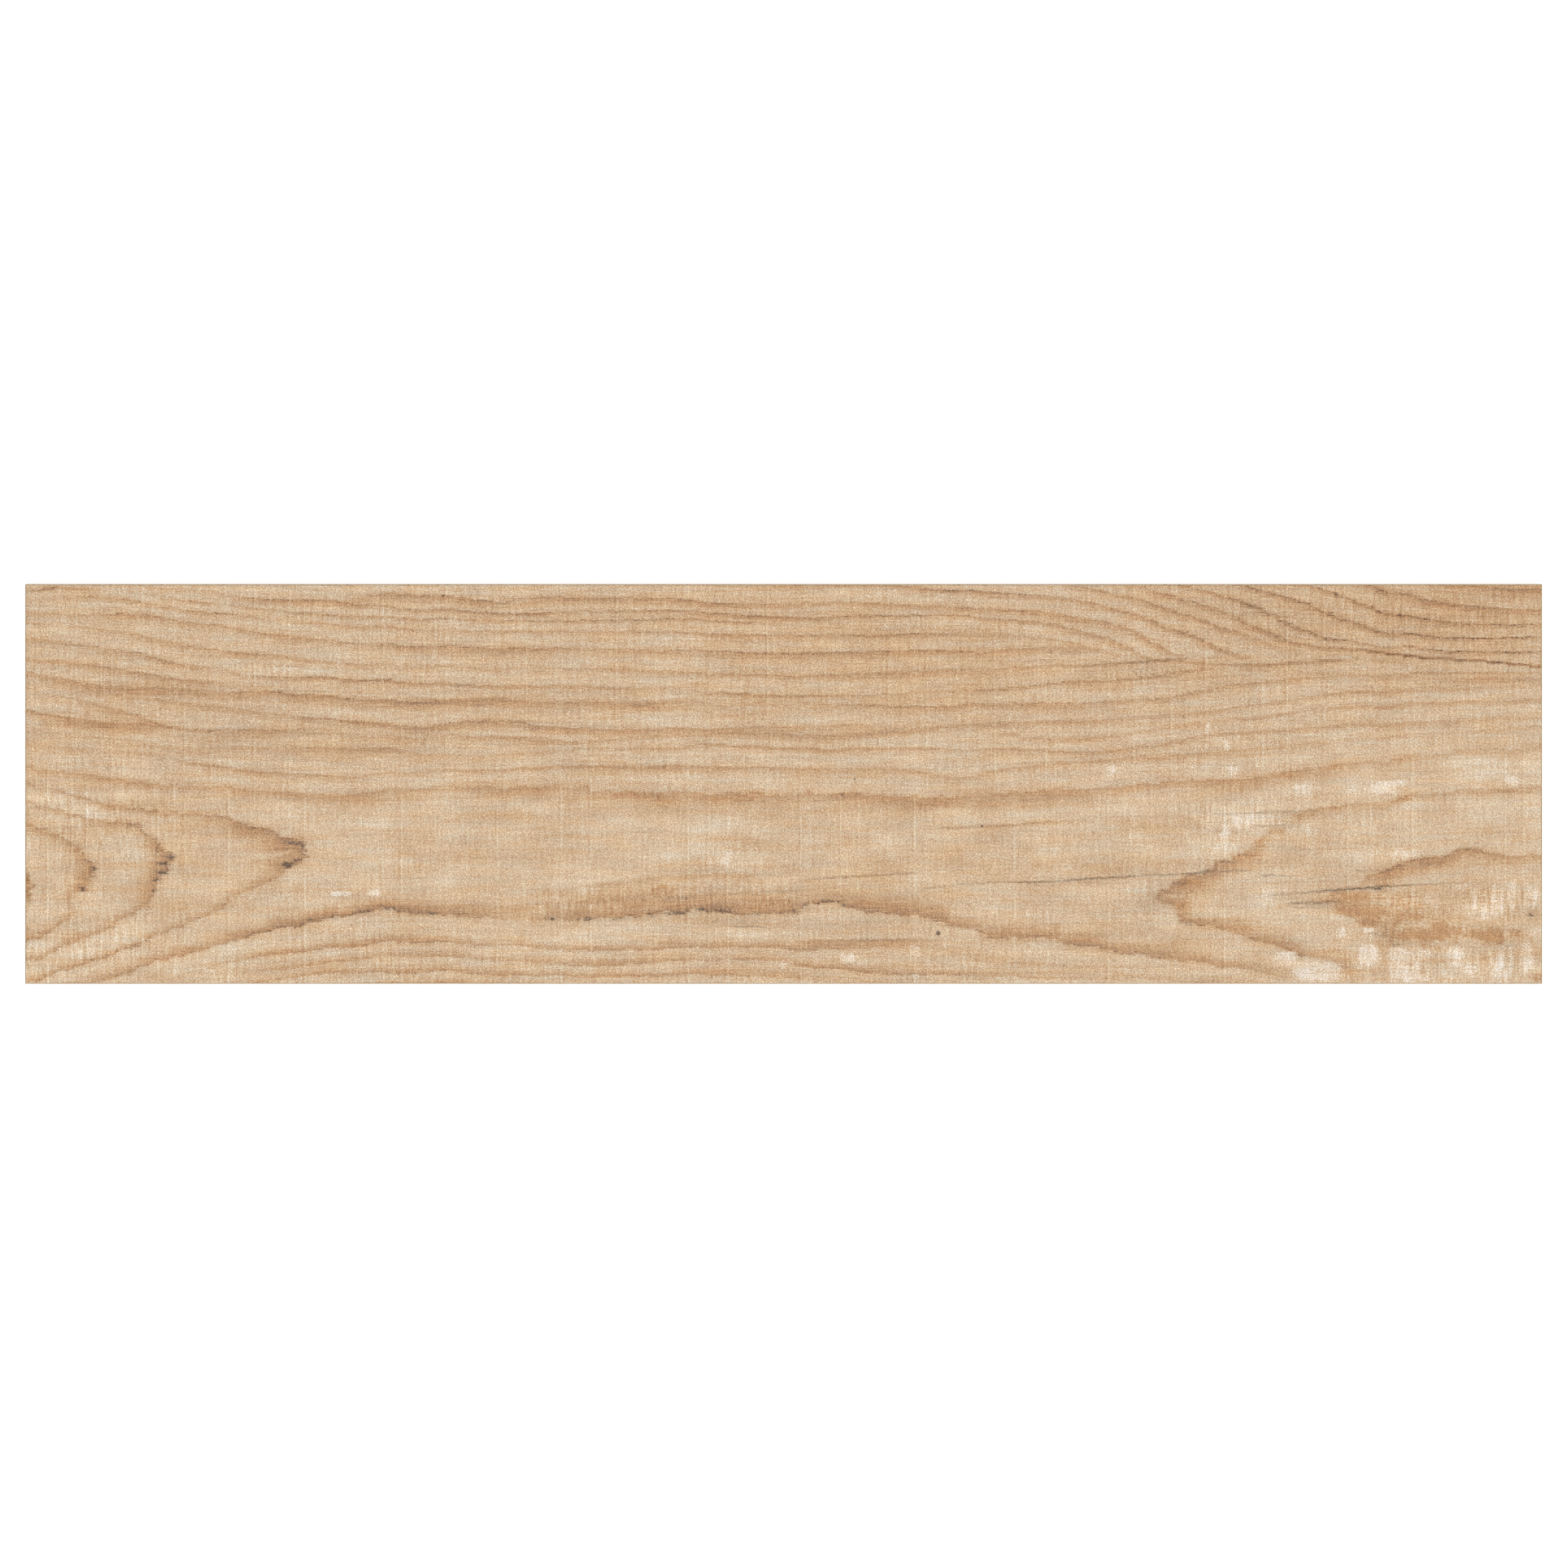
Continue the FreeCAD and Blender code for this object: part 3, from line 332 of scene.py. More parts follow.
# Sooty smudges: x, y, half-widths, strength.
SMUDGES = [
    (115, 1070, 4, 3, 1), (101, 1095, 5, 3.5, 1.1), (109, 1060, 4, 3, .6), (113, 1079, 3, 6, .6), (88, 1118, 5, 3, .3),
    (194, 1047, 3, 7, .7), (210, 1056, 6, 3, 1.1), (200, 1064, 9, 2.6, 1.05), (199, 1075, 9, 3, 1), (192, 1084, 5, 3, .9), (188, 1098, 3, 4, .7), (215, 1068, 8, 5, .3),
    (352, 1037, 10, 2.6, .8), (366, 1039, 8, 2.6, .65), (373, 1048, 3, 9, .8), (354, 1065, 8, 4, 1.05), (365, 1060, 7, 2.6, .85), (344, 1072, 6, 5, .3), (300, 1014, 12, 3, .45),
    (308, 1152, 7, 3, .5), (350, 1141, 14, 3, .45), (384, 1134, 12, 2.8, .6), (412, 1129, 13, 2.8, .65), (447, 1123, 9, 2.6, .7), (477, 1120, 12, 2.4, .7), (507, 1123, 5, 2.6, .5), (531, 1126, 9, 2.6, .7),
    (570, 1126, 14, 2.6, .5), (594, 1129, 8, 2.6, .35), (665, 1129, 66, 4, .18), (680, 1132, 8, 2.6, .75), (724, 1132, 4, 2.8, .95), (762, 1131, 20, 2.4, .35), (840, 1106, 24, 3, .5), (802, 1127, 5, 3, .8),
    (834, 1125, 15, 2.6, .75), (864, 1121, 13, 2.2, .7), (893, 1122, 14, 2.8, .75), (932, 1126, 9, 2.6, .6), (980, 1121, 6, 2.6, .5), (993, 1114, 4, 3, .6), (1018, 1110, 18, 2.4, .75), (1040, 1115, 6, 3, .7), (1072, 1124, 5, 2, .5),
    (875, 1101, 14, 2, .5), (935, 1102, 16, 2, .55), (965, 1099, 10, 1.8, .4), (1112, 1132, 14, 5, .3), (1668, 1095, 42, 3.4, .45), (1697, 1093, 8, 4.5, .5), (1592, 1106, 18, 3, .3), (1620, 1114, 20, 4, .3), (1712, 1151, 16, 8, .3), (1887, 1128, 4, 4, .6), (1878, 1121, 12, 8, .22),
    (1716, 1163, 18, 5, .32), (1823, 1174, 14, 6, .2), (1851, 1173, 4, 12, .2), (966, 1124, 16, 2.2, .6), (872, 1136, 48, 7, .14), (1070, 1133, 30, 6, .2),
    (215, 853, 34, 6, .16), (1425, 1096, 22, 10, .24), (1456, 1131, 10, 8, .2), (1416, 1118, 24, 16, .16), (1080, 805, 80, 5, .15), (980, 856, 90, 4, .2), (1245, 848, 40, 5, .22),
    (60, 908, 40, 7, .12), (1500, 1073, 14, 6, .2), (1760, 1146, 30, 5, .12), (1600, 1160, 30, 8, .18), (1150, 1152, 14, 8, .12), (760, 1134, 60, 5, .16), (880, 1134, 50, 6, .18), (1040, 1140, 60, 6, .16),
    (280, 1110, 10, 8, .15), (175, 1165, 8, 4, .2), (1612, 1178, 10, 4, .25), (1510, 1061, 12, 4, .4), (1450, 1088, 10, 4, .45), (1464, 1087, 12, 4, .3), (1464, 1138, 8, 3, .4), (1545, 1157, 10, 3, .3), (1690, 1140, 16, 3, .3),
    (1664, 1132, 10, 3, .25), (1748, 1056, 12, 2.4, .35), (1708, 1071, 12, 2.4, .3), (1790, 1052, 8, 2.4, .3), (1670, 1163, 24, 4, .2),
]

# Lighter and darker fields: x, y, half-widths, grey levels, warmth.
FIELDS = [
    (1600, 782, 60, 28, -8, .1), (1840, 730, 60, 14, -9, .1), (1750, 775, 150, 45, -4, 0), (1500, 790, 40, 20, -3, 0), (1480, 925, 60, 12, -3, 0), (324, 1000, 40, 20, -2, 0), (1860, 940, 60, 20, 3, 0),
    (1850, 1000, 120, 26, 6, -.2), (1500, 1000, 60, 20, 4, 0), (960, 1140, 130, 7, -9, -.4), (1416, 1112, 28, 22, 1, -1.4), (1500, 745, 60, 30, -4, 0), (1500, 840, 70, 26, -4, 0), (320, 1170, 120, 16, 4, 0),
    (660, 1150, 60, 10, 4, 0), (900, 1158, 60, 8, 4, 0), (1860, 1172, 14, 26, 0, -1), (1604, 1163, 40, 12, 4, -.5), (250, 1040, 30, 30, 0, 0), (1630, 1200, 60, 14, 4, -.3),
    (90, 1172, 90, 34, 10, 0), (720, 1162, 120, 16, 4, 0), (1480, 1196, 60, 8, 6, 0), (1400, 952, 90, 10, 5, 0), (1800, 945, 120, 20, 5, 0), (1000, 1060, 500, 50, -3, 0), (1372, 1084, 34, 26, -6, 0), (96, 1082, 34, 20, -5, 0), (322, 1084, 34, 14, -3, 0), (1736, 1080, 44, 10, -4, 0), (690, 1078, 50, 12, 4, 0), (1250, 1086, 50, 16, -3, 0), (110, 840, 130, 70, -3, 0), (300, 900, 70, 35, -5, -.6), (1800, 770, 150, 60, -12, .6), (1640, 745, 150, 32, -9, .2), (1420, 740, 60, 30, -4, .3),
    (1400, 830, 120, 16, -8, .3), (1200, 835, 150, 40, -6, .7), (1000, 800, 180, 50, -6, .6), (900, 745, 120, 25, -5, .6), (1040, 752, 70, 14, -4, 0), (1500, 752, 70, 14, -4, 0), (600, 800, 130, 40, -1, 0), (570, 752, 40, 16, -4, 0), (850, 836, 80, 16, -3, 0), (1480, 836, 80, 14, -4, 0),
    (700, 1035, 330, 36, 1, -.1), (250, 1050, 70, 60, -4, .3), (60, 915, 60, 18, -7, .8), (240, 925, 60, 14, -5, 0),
    (1240, 1120, 120, 18, 4, -.2), (930, 1070, 60, 35, 2, -.2), (900, 1005, 90, 12, 4, 0), (1120, 1075, 130, 25, -5, .5), (1545, 1010, 90, 30, 5, -.3), (792, 1002, 46, 10, -9, 0), (1158, 1004, 50, 12, -2, 0), (950, 1006, 26, 8, 3, 0), (955, 985, 30, 5, -3, 0), (1368, 1082, 34, 16, -3, 0), (325, 1078, 30, 14, -3, 0), (560, 1000, 60, 12, -3, 0), (1360, 1002, 40, 14, 3, 0),
    (1138, 1096, 11, 84, 5, 0), (908, 1140, 7, 66, 5, 0), (696, 1140, 7, 60, 5, 0), (238, 1062, 7, 34, 6, 0), (38, 1066, 6, 40, 7, 0), (941, 1052, 8, 36, 4, 0), (1579, 1150, 7, 50, 5, 0), (832, 1150, 7, 50, -5, 0), (1407, 1150, 10, 50, -5, 0), (172, 1056, 9, 34, -5, 0),
    (1196, 1144, 7, 50, -5, 0), (1247, 1140, 8, 50, -4, 0), (1181, 1050, 7, 30, -4, 0), (1615, 1046, 7, 34, 5, 0), (1498, 1040, 7, 34, 5, 0), (1547, 1056, 7, 26, -4, 0), (1889, 1060, 7, 30, -5, 0), (57, 1060, 6, 34, -4, 0), (1034, 1040, 6, 30, -4, 0), (994, 1150, 7, 40, -4, 0),
    (83, 1082, 30, 22, -4, 0), (671, 1082, 40, 14, 4, 0), (1849, 1164, 34, 22, -5, 0), (1849, 1000, 44, 14, 3, 0), (479, 840, 9, 90, -4, 0), (775, 830, 9, 80, -3, 0), (853, 850, 8, 90, -3, 0), (421, 840, 8, 90, 3, 0), (223, 820, 8, 90, 3, 0), (883, 840, 8, 90, 3, 0), (1192, 830, 8, 90, -2, 0), (1424, 850, 8, 80, 2, 0), (1681, 880, 8, 60, -3, 0), (1753, 860, 8, 70, 3, 0),
    (1560, 1100, 50, 25, 3, -.4), (1850, 1110, 60, 30, -2, .3), (1760, 1120, 80, 20, -2, .4), (1090, 1165, 90, 22, -4, .3),
    (150, 1180, 130, 22, 5, .2), (640, 1165, 120, 26, 7, 0), (740, 1177, 210, 4.5, 7, 0), (740, 1194, 190, 4, 6, 0), (450, 1172, 90, 4, 6, 0), (1060, 1183, 60, 6, 5, 0), (300, 1170, 110, 20, 3, 0), (905, 1170, 60, 18, 4, 0), (436, 920, 70, 14, -10, .3), (200, 838, 40, 14, 3, 0), (600, 870, 60, 8, -3, .2), (120, 895, 60, 9, -6, .9), (190, 893, 24, 6, -8, .9), (225, 856, 50, 8, -5, -.2), (300, 912, 60, 10, -4, 0),
]

# White-washed patches: x, y, half-widths, strength.
WASHES = [
    (1707, 970, 21, 10, .8), (1728, 964, 8, 4, .5), (1838, 952, 38, 22, .24), (1668, 974, 12, 11, .4), (1583, 890, 6, 20, .3), (1670, 892, 9, 15, .35), (1606, 975, 15, 11, .6), (1864, 963, 9, 6, .7), (1620, 948, 6, 6, .6), (1415, 1100, 6, 5, .2), (420, 1101, 14, 3, 1.2), (461, 1100, 8, 4.5, 1.2), (895, 1060, 8, 14, .45), (870, 1085, 10, 12, .3),
    (1368, 953, 6, 13, .55), (1380, 948, 14, 6, .4), (1517, 950, 10, 8, .65), (1512, 917, 5, 7, .75), (1488, 897, 5, 7, .6), (965, 1190, 4, 8, .6), (970, 1186, 10, 4, .5), (1045, 1180, 14, 7, .75), (1128, 1170, 9, 10, .5), (880, 1183, 22, 5, .4),
    (1165, 1165, 6, 5, .4), (1265, 1125, 8, 5, .5), (1275, 1165, 7, 4, .4), (1532, 1012, 22, 12, .4), (1510, 1036, 9, 18, .4), (1572, 1010, 10, 7, .3), (1492, 1022, 34, 14, .2), (1562, 1104, 10, 12, .6), (1396, 1022, 8, 16, .45), (1318, 1070, 20, 5, .45),
    (1624, 1197, 28, 12, 1.2), (1585, 1181, 17, 10, .7), (1686, 1176, 14, 13, 1.1), (1723, 1189, 13, 22, .8), (1746, 1189, 7, 20, .55), (1724, 1174, 16, 6, .45), (1736, 1206, 6, 5, .6), (1760, 1176, 10, 6, .5), (1795, 1180, 12, 13, .85), (1756, 1206, 10, 5, .6), (1787, 1206, 10, 6, .55),
    (1812, 1196, 5, 12, .5), (1817, 1108, 4, 22, .85), (1828, 1112, 3, 20, .6), (1840, 1108, 4, 20, .85), (1850, 1110, 4, 22, .75), (1830, 1128, 7, 9, .5), (1862, 1106, 4, 22, .65), (1890, 1108, 7, 16, .55), (1800, 1094, 12, 6, .55), (1850, 1180, 5, 12, .55), (1856, 1204, 4, 8, .5),
    (1882, 1180, 9, 20, .75), (1892, 1150, 8, 8, .55), (1653, 1149, 8, 7, .7), (1687, 1146, 12, 4, .6), (1843, 1196, 8, 18, .65), (1862, 1190, 5, 26, .45), (1812, 1148, 4, 8, .35), (1732, 1053, 22, 7, .6), (1822, 1028, 8, 6, .35),
    (1100, 1060, 16, 8, .35), (878, 1062, 22, 5, .5), (300, 735, 22, 4, .4), (560, 815, 30, 5, .25), (260, 1198, 14, 6, .45), (1780, 1188, 110, 22, .08), (1560, 1195, 60, 8, .25), (150, 1206, 26, 4, .3),
    (1200, 1110, 60, 8, .25), (1330, 1108, 26, 5, .4), (930, 1035, 40, 30, .18), (1560, 965, 60, 10, .25), (800, 960, 40, 6, .3), (580, 958, 40, 5, .25), (850, 955, 14, 8, .35), (150, 1030, 50, 8, .15), (360, 1020, 20, 6, .2), (1700, 1050, 40, 12, .2),
]

# Where upright threads show most: x, y, half-widths, strength.
THREADS = [
    (1850, 1112, 60, 28, 1), (1790, 1190, 120, 24, 1), (90, 1165, 120, 55, .72), (110, 1010, 100, 76, .6), (1710, 1150, 34, 16, .6), (910, 1070, 60, 40, .45), (1380, 1060, 90, 60, .35),
    (1640, 760, 120, 40, .5), (1830, 760, 80, 50, .6), (690, 1115, 60, 16, .9), (850, 1110, 130, 16, 1), (1620, 1030, 70, 30, .45), (1520, 1010, 50, 20, .4), (440, 1150, 110, 50, .35), (760, 760, 200, 40, .3), (1500, 1040, 30, 50, .5),
    (1250, 1140, 130, 30, .35), (1560, 960, 60, 40, .4), (500, 780, 90, 40, .3), (560, 1190, 140, 20, .5),
]

# Ragged brown patches, brushed both ways: x, y, half-widths, strength.
PATCHES = [
    (33, 1093, 5, 15, 1), (1669, 1110, 31, 12, .95), (1675, 1124, 28, 7, .9), (1686, 1135, 16, 7, .85), (1725, 1113, 26, 20, .45), (1768, 1116, 46, 18, .33), (1714, 1146, 12, 12, .45), (1724, 1152, 16, 9, .45), (1458, 1120, 10, 16, .35),
    (1745, 1150, 16, 8, .95), (1757, 1158, 9, 10, .8), (1773, 1147, 10, 13, 1), (1789, 1146, 14, 8, .65), (1829, 1147, 28, 11, .6), (1816, 1151, 10, 5, .4), (1839, 1157, 15, 9, .9), (1734, 1132, 20, 8, .45), (1790, 1158, 14, 6, .5),
    (1868, 1150, 10, 6, .6), (1772, 1170, 12, 5, .45), (1718, 1074, 17, 7, .3), (1706, 1085, 12, 8, .5), (1806, 1054, 20, 6, .5), (1766, 1064, 20, 5, .3), (1870, 1062, 30, 5, .3),
    (1640, 1172, 30, 5, .45), (1660, 1188, 9, 9, .5), (1868, 1190, 7, 20, .3), (1893, 1205, 9, 7, .8), (1832, 1198, 12, 12, .4), (1830, 1178, 8, 8, .3), (1706, 1198, 5, 14, .3), (1704, 1175, 8, 8, .2),
    (1780, 1184, 26, 3, .5), (1745, 1196, 4, 12, .3), (1800, 1190, 5, 16, .3),
    (1465, 1088, 16, 5, 1), (1468, 1099, 24, 7, .35), (1456, 1118, 8, 13, .3), (1500, 1133, 40, 4, .45), (1533, 1144, 15, 5, .45), (1565, 1156, 22, 5, .45), (1590, 1167, 14, 5, .45), (1540, 1053, 18, 9, .5),
    (1553, 1040, 8, 7, .6), (1573, 1025, 12, 5, .5), (1607, 1006, 15, 6, .55), (1520, 1063, 14, 5, .3), (1640, 996, 22, 3, .5), (1731, 983, 10, 4, .7), (1790, 978, 40, 3, .4), (1862, 975, 38, 3, .4), (1490, 1112, 30, 12, .25),
    (768, 979, 18, 5, .5), (795, 981, 20, 6, .6), (824, 984, 16, 9, .6), (870, 983, 21, 6, .45), (916, 982, 30, 7, .4), (962, 984, 22, 6, .2), (996, 982, 12, 8, .4), (1036, 981, 24, 7, .45), (1100, 988, 30, 8, .3), (1147, 989, 26, 8, .55), (1177, 984, 13, 5, .5),
    (1400, 972, 16, 5, .4), (1500, 965, 22, 5, .35), (1592, 955, 24, 8, .35), (1655, 946, 24, 6, .3), (1330, 976, 30, 4, .3),
    (770, 1111, 38, 9, .42), (818, 1098, 18, 8, .6), (816, 1092, 10, 3, .5), (850, 1110, 30, 6, .22), (892, 1111, 14, 7, .15), (960, 1112, 24, 6, .5), (935, 1108, 16, 5, .35), (972, 1117, 12, 5, .4), (1025, 1104, 34, 5, .25),
    (700, 1111, 40, 3.5, .4), (660, 1114, 24, 3, .4), (875, 1090, 60, 5, .15),
    (1250, 1148, 30, 6, .3), (1335, 1154, 32, 8, .3), (1400, 1168, 18, 7, .45), (1440, 1174, 22, 5, .35), (1482, 1181, 26, 4, .35), (1540, 1190, 30, 3, .3),
    (325, 1028, 26, 7, .3), (335, 1062, 24, 7, .35), (358, 1045, 18, 8, .4), (352, 1068, 12, 5, .4), (325, 1085, 22, 4, .5), (198, 1045, 9, 8, .35), (190, 1080, 9, 10, .4), (104, 1070, 10, 12, .4), (98, 1095, 9, 6, .4),
    (300, 1152, 24, 4, .35), (230, 1168, 30, 4, .3), (410, 1125, 30, 5, .35), (120, 892, 44, 5, .22), (185, 892, 22, 4, .25), (130, 857, 30, 4, .3), (120, 960, 36, 4, .3),
    (295, 806, 26, 3.5, .4), (190, 852, 52, 5, .3), (300, 859, 36, 5, .3), (340, 866, 30, 4, .25), (150, 894, 30, 4, .25), (470, 866, 60, 3, .2), (165, 758, 30, 3.5, .3), (340, 949, 70, 3.5, .25), (500, 962, 24, 3, .2),
]

# Short branches off the main lines: points, half-width, strength at the two ends.
BRANCHES = [
    ([(733, 1091), (760, 1089), (790, 1086), (813, 1083), (854, 1080), (880, 1079), (928, 1078)], 3.2, 1, .6),
    ([(985, 1085), (1040, 1081), (1080, 1079), (1127, 1075)], 2.6, .4, .6),
    ([(640, 1119), (700, 1114), (760, 1106), (800, 1101)], 3.4, .5, .5),
    ([(1160, 1020), (1200, 1019), (1240, 1017), (1300, 1013)], 2.4, .4, .5),
    ([(1265, 1014), (1310, 1013)], 2.6, .8, .4),
    ([(934, 1005), (958, 1005)], 2.4, .5, .3),
    ([(985, 1002), (1030, 1001)], 2.4, .6, .4),
    ([(1000, 998), (1048, 997)], 2.4, .4, .6),
    ([(690, 987), (728, 987)], 2.6, .4, .3),
    ([(500, 985), (560, 983), (620, 978), (655, 974)], 2.8, .2, .3),
    ([(985, 1163), (1040, 1162), (1158, 1160)], 2.6, .6, .3),
    ([(1660, 893), (1740, 893), (1800, 891)], 2.6, .4, .3),
    ([(1640, 1110), (1600, 1113), (1570, 1117)][::-1], 2.8, .5, 1),
]

# Dark specks: x, y, radius.
SPECKS = [(1156, 1150, 2.6), (1210, 1018, 1.4), (1037, 979, 1.3), (1053, 960, 1.0)]

# Where the print's strips meet side by side, a light line with a dark one by it:
# x, then how strong it is above the long middle line and below it.
SEAMS = [
    (45, .5, .7), (59, .2, 1), (74, .1, .5), (89, .2, .7), (107, .1, .7), (125, .6, .3), (138, .6, .2), (152, .5, .4), (164, .1, .5), (176, .5, .6),
    (195, .1, .7), (215, .1, .7), (228, .4, .4), (260, .5, .1), (282, .1, .9), (298, .2, .4), (314, .5, .6), (357, .7, .5), (376, .1, 1), (418, .3, .4),
    (444, .5, .3), (472, .6, .4), (495, .4, .6), (550, .5, .3), (613, .2, .7), (649, .4, .3), (692, .1, .6), (728, .3, .8), (760, .6, .3), (808, .6, .4),
    (848, .2, .8), (874, .3, .6), (897, .3, .6), (946, .6, .2), (987, .4, .8), (1036, .1, .5), (1058, .1, .5), (1095, .5, .4), (1127, .1, 1), (1143, .5, .1),
    (1188, .2, .4), (1226, .5, .1), (1250, .1, .6), (1289, .6, .1), (1366, .4, .7), (1397, .6, .1), (1419, .1, .5), (1444, .5, .1), (1486, .7, .1),
    (1509, .1, .7), (1522, .5, .2), (1556, .7, .3), (1586, .6, .3), (1632, .5, .2), (1661, .2, .6), (1689, .1, .5), (1719, .5, .4), (1741, .1, .7),
    (1812, .5, .5), (1855, .1, .7), (1867, .5, .2), (1878, .1, .5),
]


def run(values, x):
    """The value at x of a number or of (x, value) runs."""
    if isinstance(values, (int, float)):
        return np.full(np.shape(x), float(values))
    at, value = zip(*values)
    return np.interp(x, at, value)


def line_y(points, x):
    px, py = zip(*points)
    return np.interp(x, px, py)


# --------------------------------------------------- the figure on a grid of points
NX, NY = 430, 190
gx = np.linspace(-L / 2 + ARRIS, L / 2 - ARRIS, NX + 1)
gy = np.linspace(W / 2 - ARRIS, -W / 2 + ARRIS, NY + 1)
GX, GY = np.meshgrid(gx, gy, indexing="ij")
U, V = to_unit(GX, GY)
columns = U[:, 0]


def stacked(lines, outward):
    """Phase and marks between the stacked lines of one half, column by column.
    outward is -1 where the phase grows upwards in the picture, and 1 downwards."""
    ys = np.array([line_y(line[1], columns) for line in lines])
    for i in range(1, len(lines)):
        # where a line has run out it lies close on the one inside it
        seen = np.clip((run(lines[i][2], columns) + run(lines[i][4], columns)) / 0.12, 0, 1)
        ys[i] = seen * ys[i] + (1 - seen) * (ys[i - 1] + outward * 0.3)
        ys[i] = outward * np.maximum(outward * ys[i], outward * ys[i - 1] + 0.3)
    first = lines[0][0]
    phase = np.zeros_like(U)
    marks = np.zeros(U.shape + (3,))
    values = np.array([[run(line[k], columns) for k in (2, 3, 4)] for line in lines])
    values[1:, 0] *= 1.35
    last_gap = 14.0
    for i in range(len(columns)):
        y = outward * ys[:, i]
        y = np.append(y, y[-1] + last_gap)
        n = np.arange(len(y)) + first
        here = outward * V[i]
        phase[i] = np.interp(here, y, n)
        below = np.clip(np.floor(phase[i]).astype(int) - first, 0, len(lines) - 1)
        above = np.clip(below + 1, 0, len(lines) - 1)
        f = np.clip(phase[i] - first - below, 0, 1)
        f = np.clip((f - 0.12) / 0.4, 0, 1)[:, None]
        marks[i] = (1 - f) * values[below, :, i] + f * values[above, :, i]
    return phase, marks


def to_polyline(points, px, py):
    """Distance of every point to an open polyline, and where along it, in points."""
    best = np.full(px.shape, 1e9)
    where = np.zeros(px.shape)
    for k in range(len(points) - 1):
        (ax, ay), (bx, by) = points[k], points[k + 1]
        dx, dy = bx - ax, by - ay
        s = np.clip(((px - ax) * dx + (py - ay) * dy) / (dx * dx + dy * dy), 0, 1)
        d = np.hypot(px - ax - s * dx, py - ay - s * dy)
        near = d < best
        best[near] = d[near]
        where[near] = (k + s)[near]
    return best, where


def inside(points, side, px, py):
    """True where a point lies within an arch that opens to the left or the right."""
    far = -400 if side == "left" else 2400
    ring = [(far, points[0][1])] + list(points) + [(far, points[-1][1])]
    hit = np.zeros(px.shape, bool)
    for (ax, ay), (bx, by) in zip(ring, ring[1:] + ring[:1]):
        if ay == by:
            continue
        crosses = (py > min(ay, by)) & (py <= max(ay, by)) & (px < ax + (py - ay) / (by - ay) * (bx - ax))
        hit ^= crosses
    return hit


def middle():
    """Phase and marks between the two full-length lines, round the nested arches."""
    top, bottom = line_y(FULL, U), line_y(LOWER_FULL, U)
    d_full = np.minimum(to_polyline(FULL, U, V)[0], to_polyline(LOWER_FULL, U, V)[0])
    shapes = []
    for n, side, points, strength, width, edge in ARCHES:
        d, where = to_polyline(points, U, V)
        shapes.append((n, side, d, where, inside(points, side, U, V), strength, width, edge))
    phase = np.zeros_like(U)
    for side in ("left", "right"):
        nest = sorted((s for s in shapes if s[1] == side), key=lambda s: -s[0])
        here = U < 900 if side == "left" else U >= 900
        # outside every arch: between the nearest outermost arch and the full lines
        d9 = np.minimum(*[s[2] for s in shapes if s[0] == 9])
        p = 9 + d9 / (d9 + d_full + 1e-6)
        for k, s in enumerate(nest):
            if k + 1 < len(nest):
                inner = nest[k + 1][2]
                value = s[0] - 1 + inner / (inner + s[2] + 1e-6)
            else:
                value = s[0] - np.minimum(s[2] / (16.0 if side == "left" else 55.0), 0.85)
            p = np.where(s[4], value, p)
        phase[here] = p[here]
    weights = np.zeros_like(U)
    marks = np.zeros(U.shape + (3,))
    for s in shapes:
        w = 1 / (s[2] ** 2 + 1) ** 2
        # a line's fade lies inside it, so outside it the next line out counts more
        w = np.where(s[4], w, w * np.exp(-s[2] / 3))
        weights += w
        marks += w[..., None] * np.stack([run(v, s[3]) for v in s[5:8]], -1)
    for line, points in ((UPPER[0], FULL), (LOWER[0], LOWER_FULL)):
        d, _ = to_polyline(points, U, V)
        w = 1 / (d ** 2 + 1) ** 2
        weights += w
        marks += w[..., None] * np.stack([run(line[k], U) for k in (2, 3, 4)], -1)
    return phase, marks / weights[..., None], (V > top) & (V < bottom)


phase, marks, is_middle = middle()
up_phase, up_marks = stacked(UPPER, -1)
low_phase, low_marks = stacked(LOWER, 1)
is_up = V <= line_y(FULL, U)
is_low = V >= line_y(LOWER_FULL, U)
phase = np.where(is_up, up_phase, np.where(is_low, low_phase, phase))
marks = np.where(is_up[..., None], up_marks, np.where(is_low[..., None], low_marks, marks))
# the fibres run with the rings above and below the middle, and straight within it
flow = np.where(is_up, 10 - phase, np.where(is_low, phase - 10, 0.0))
step_u, step_v = U[1, 0] - U[0, 0], V[0, 1] - V[0, 0]
grad_u = np.gradient(phase, step_u, axis=0)
grad_v = np.gradient(phase, step_v, axis=1)


def blobs(table, sharp=2.0):
    """Soft spots; the sharper they are the squarer, as the print's strokes cross them."""
    out = np.zeros_like(U)
    for x, y, rx, ry, amount in table:
        out += amount * np.exp(-(np.abs((U - x) / rx) ** sharp + np.abs((V - y) / ry) ** sharp))
    return out


light = blobs([(x, y, rx, ry, a) for x, y, rx, ry, a, _ in FIELDS])
warm = blobs([(x, y, rx, ry, a) for x, y, rx, ry, _, a in FIELDS])
white = np.clip(blobs(WASHES, 3.4), 0, 1.2)
brown = np.clip(blobs(PATCHES, 3.4), 0, 1.2)
upright = np.clip(blobs(THREADS), 0, 1)
soot = np.clip(blobs(SMUDGES), 0, 1)

branch = np.zeros_like(U)
for points, half, begin, end in BRANCHES:
    px, py = zip(*points)
    off = V - np.interp(U, px, py)
    along_it = np.clip((U - px[0]) / (px[-1] - px[0]), 0, 1)
    ends = np.clip((U - px[0]) / 16 + 0.5, 0, 1) * np.clip((px[-1] - U) / 16 + 0.5, 0, 1)
    branch += (begin + (end - begin) * along_it) * ends * np.exp(-(off / half) ** 2)

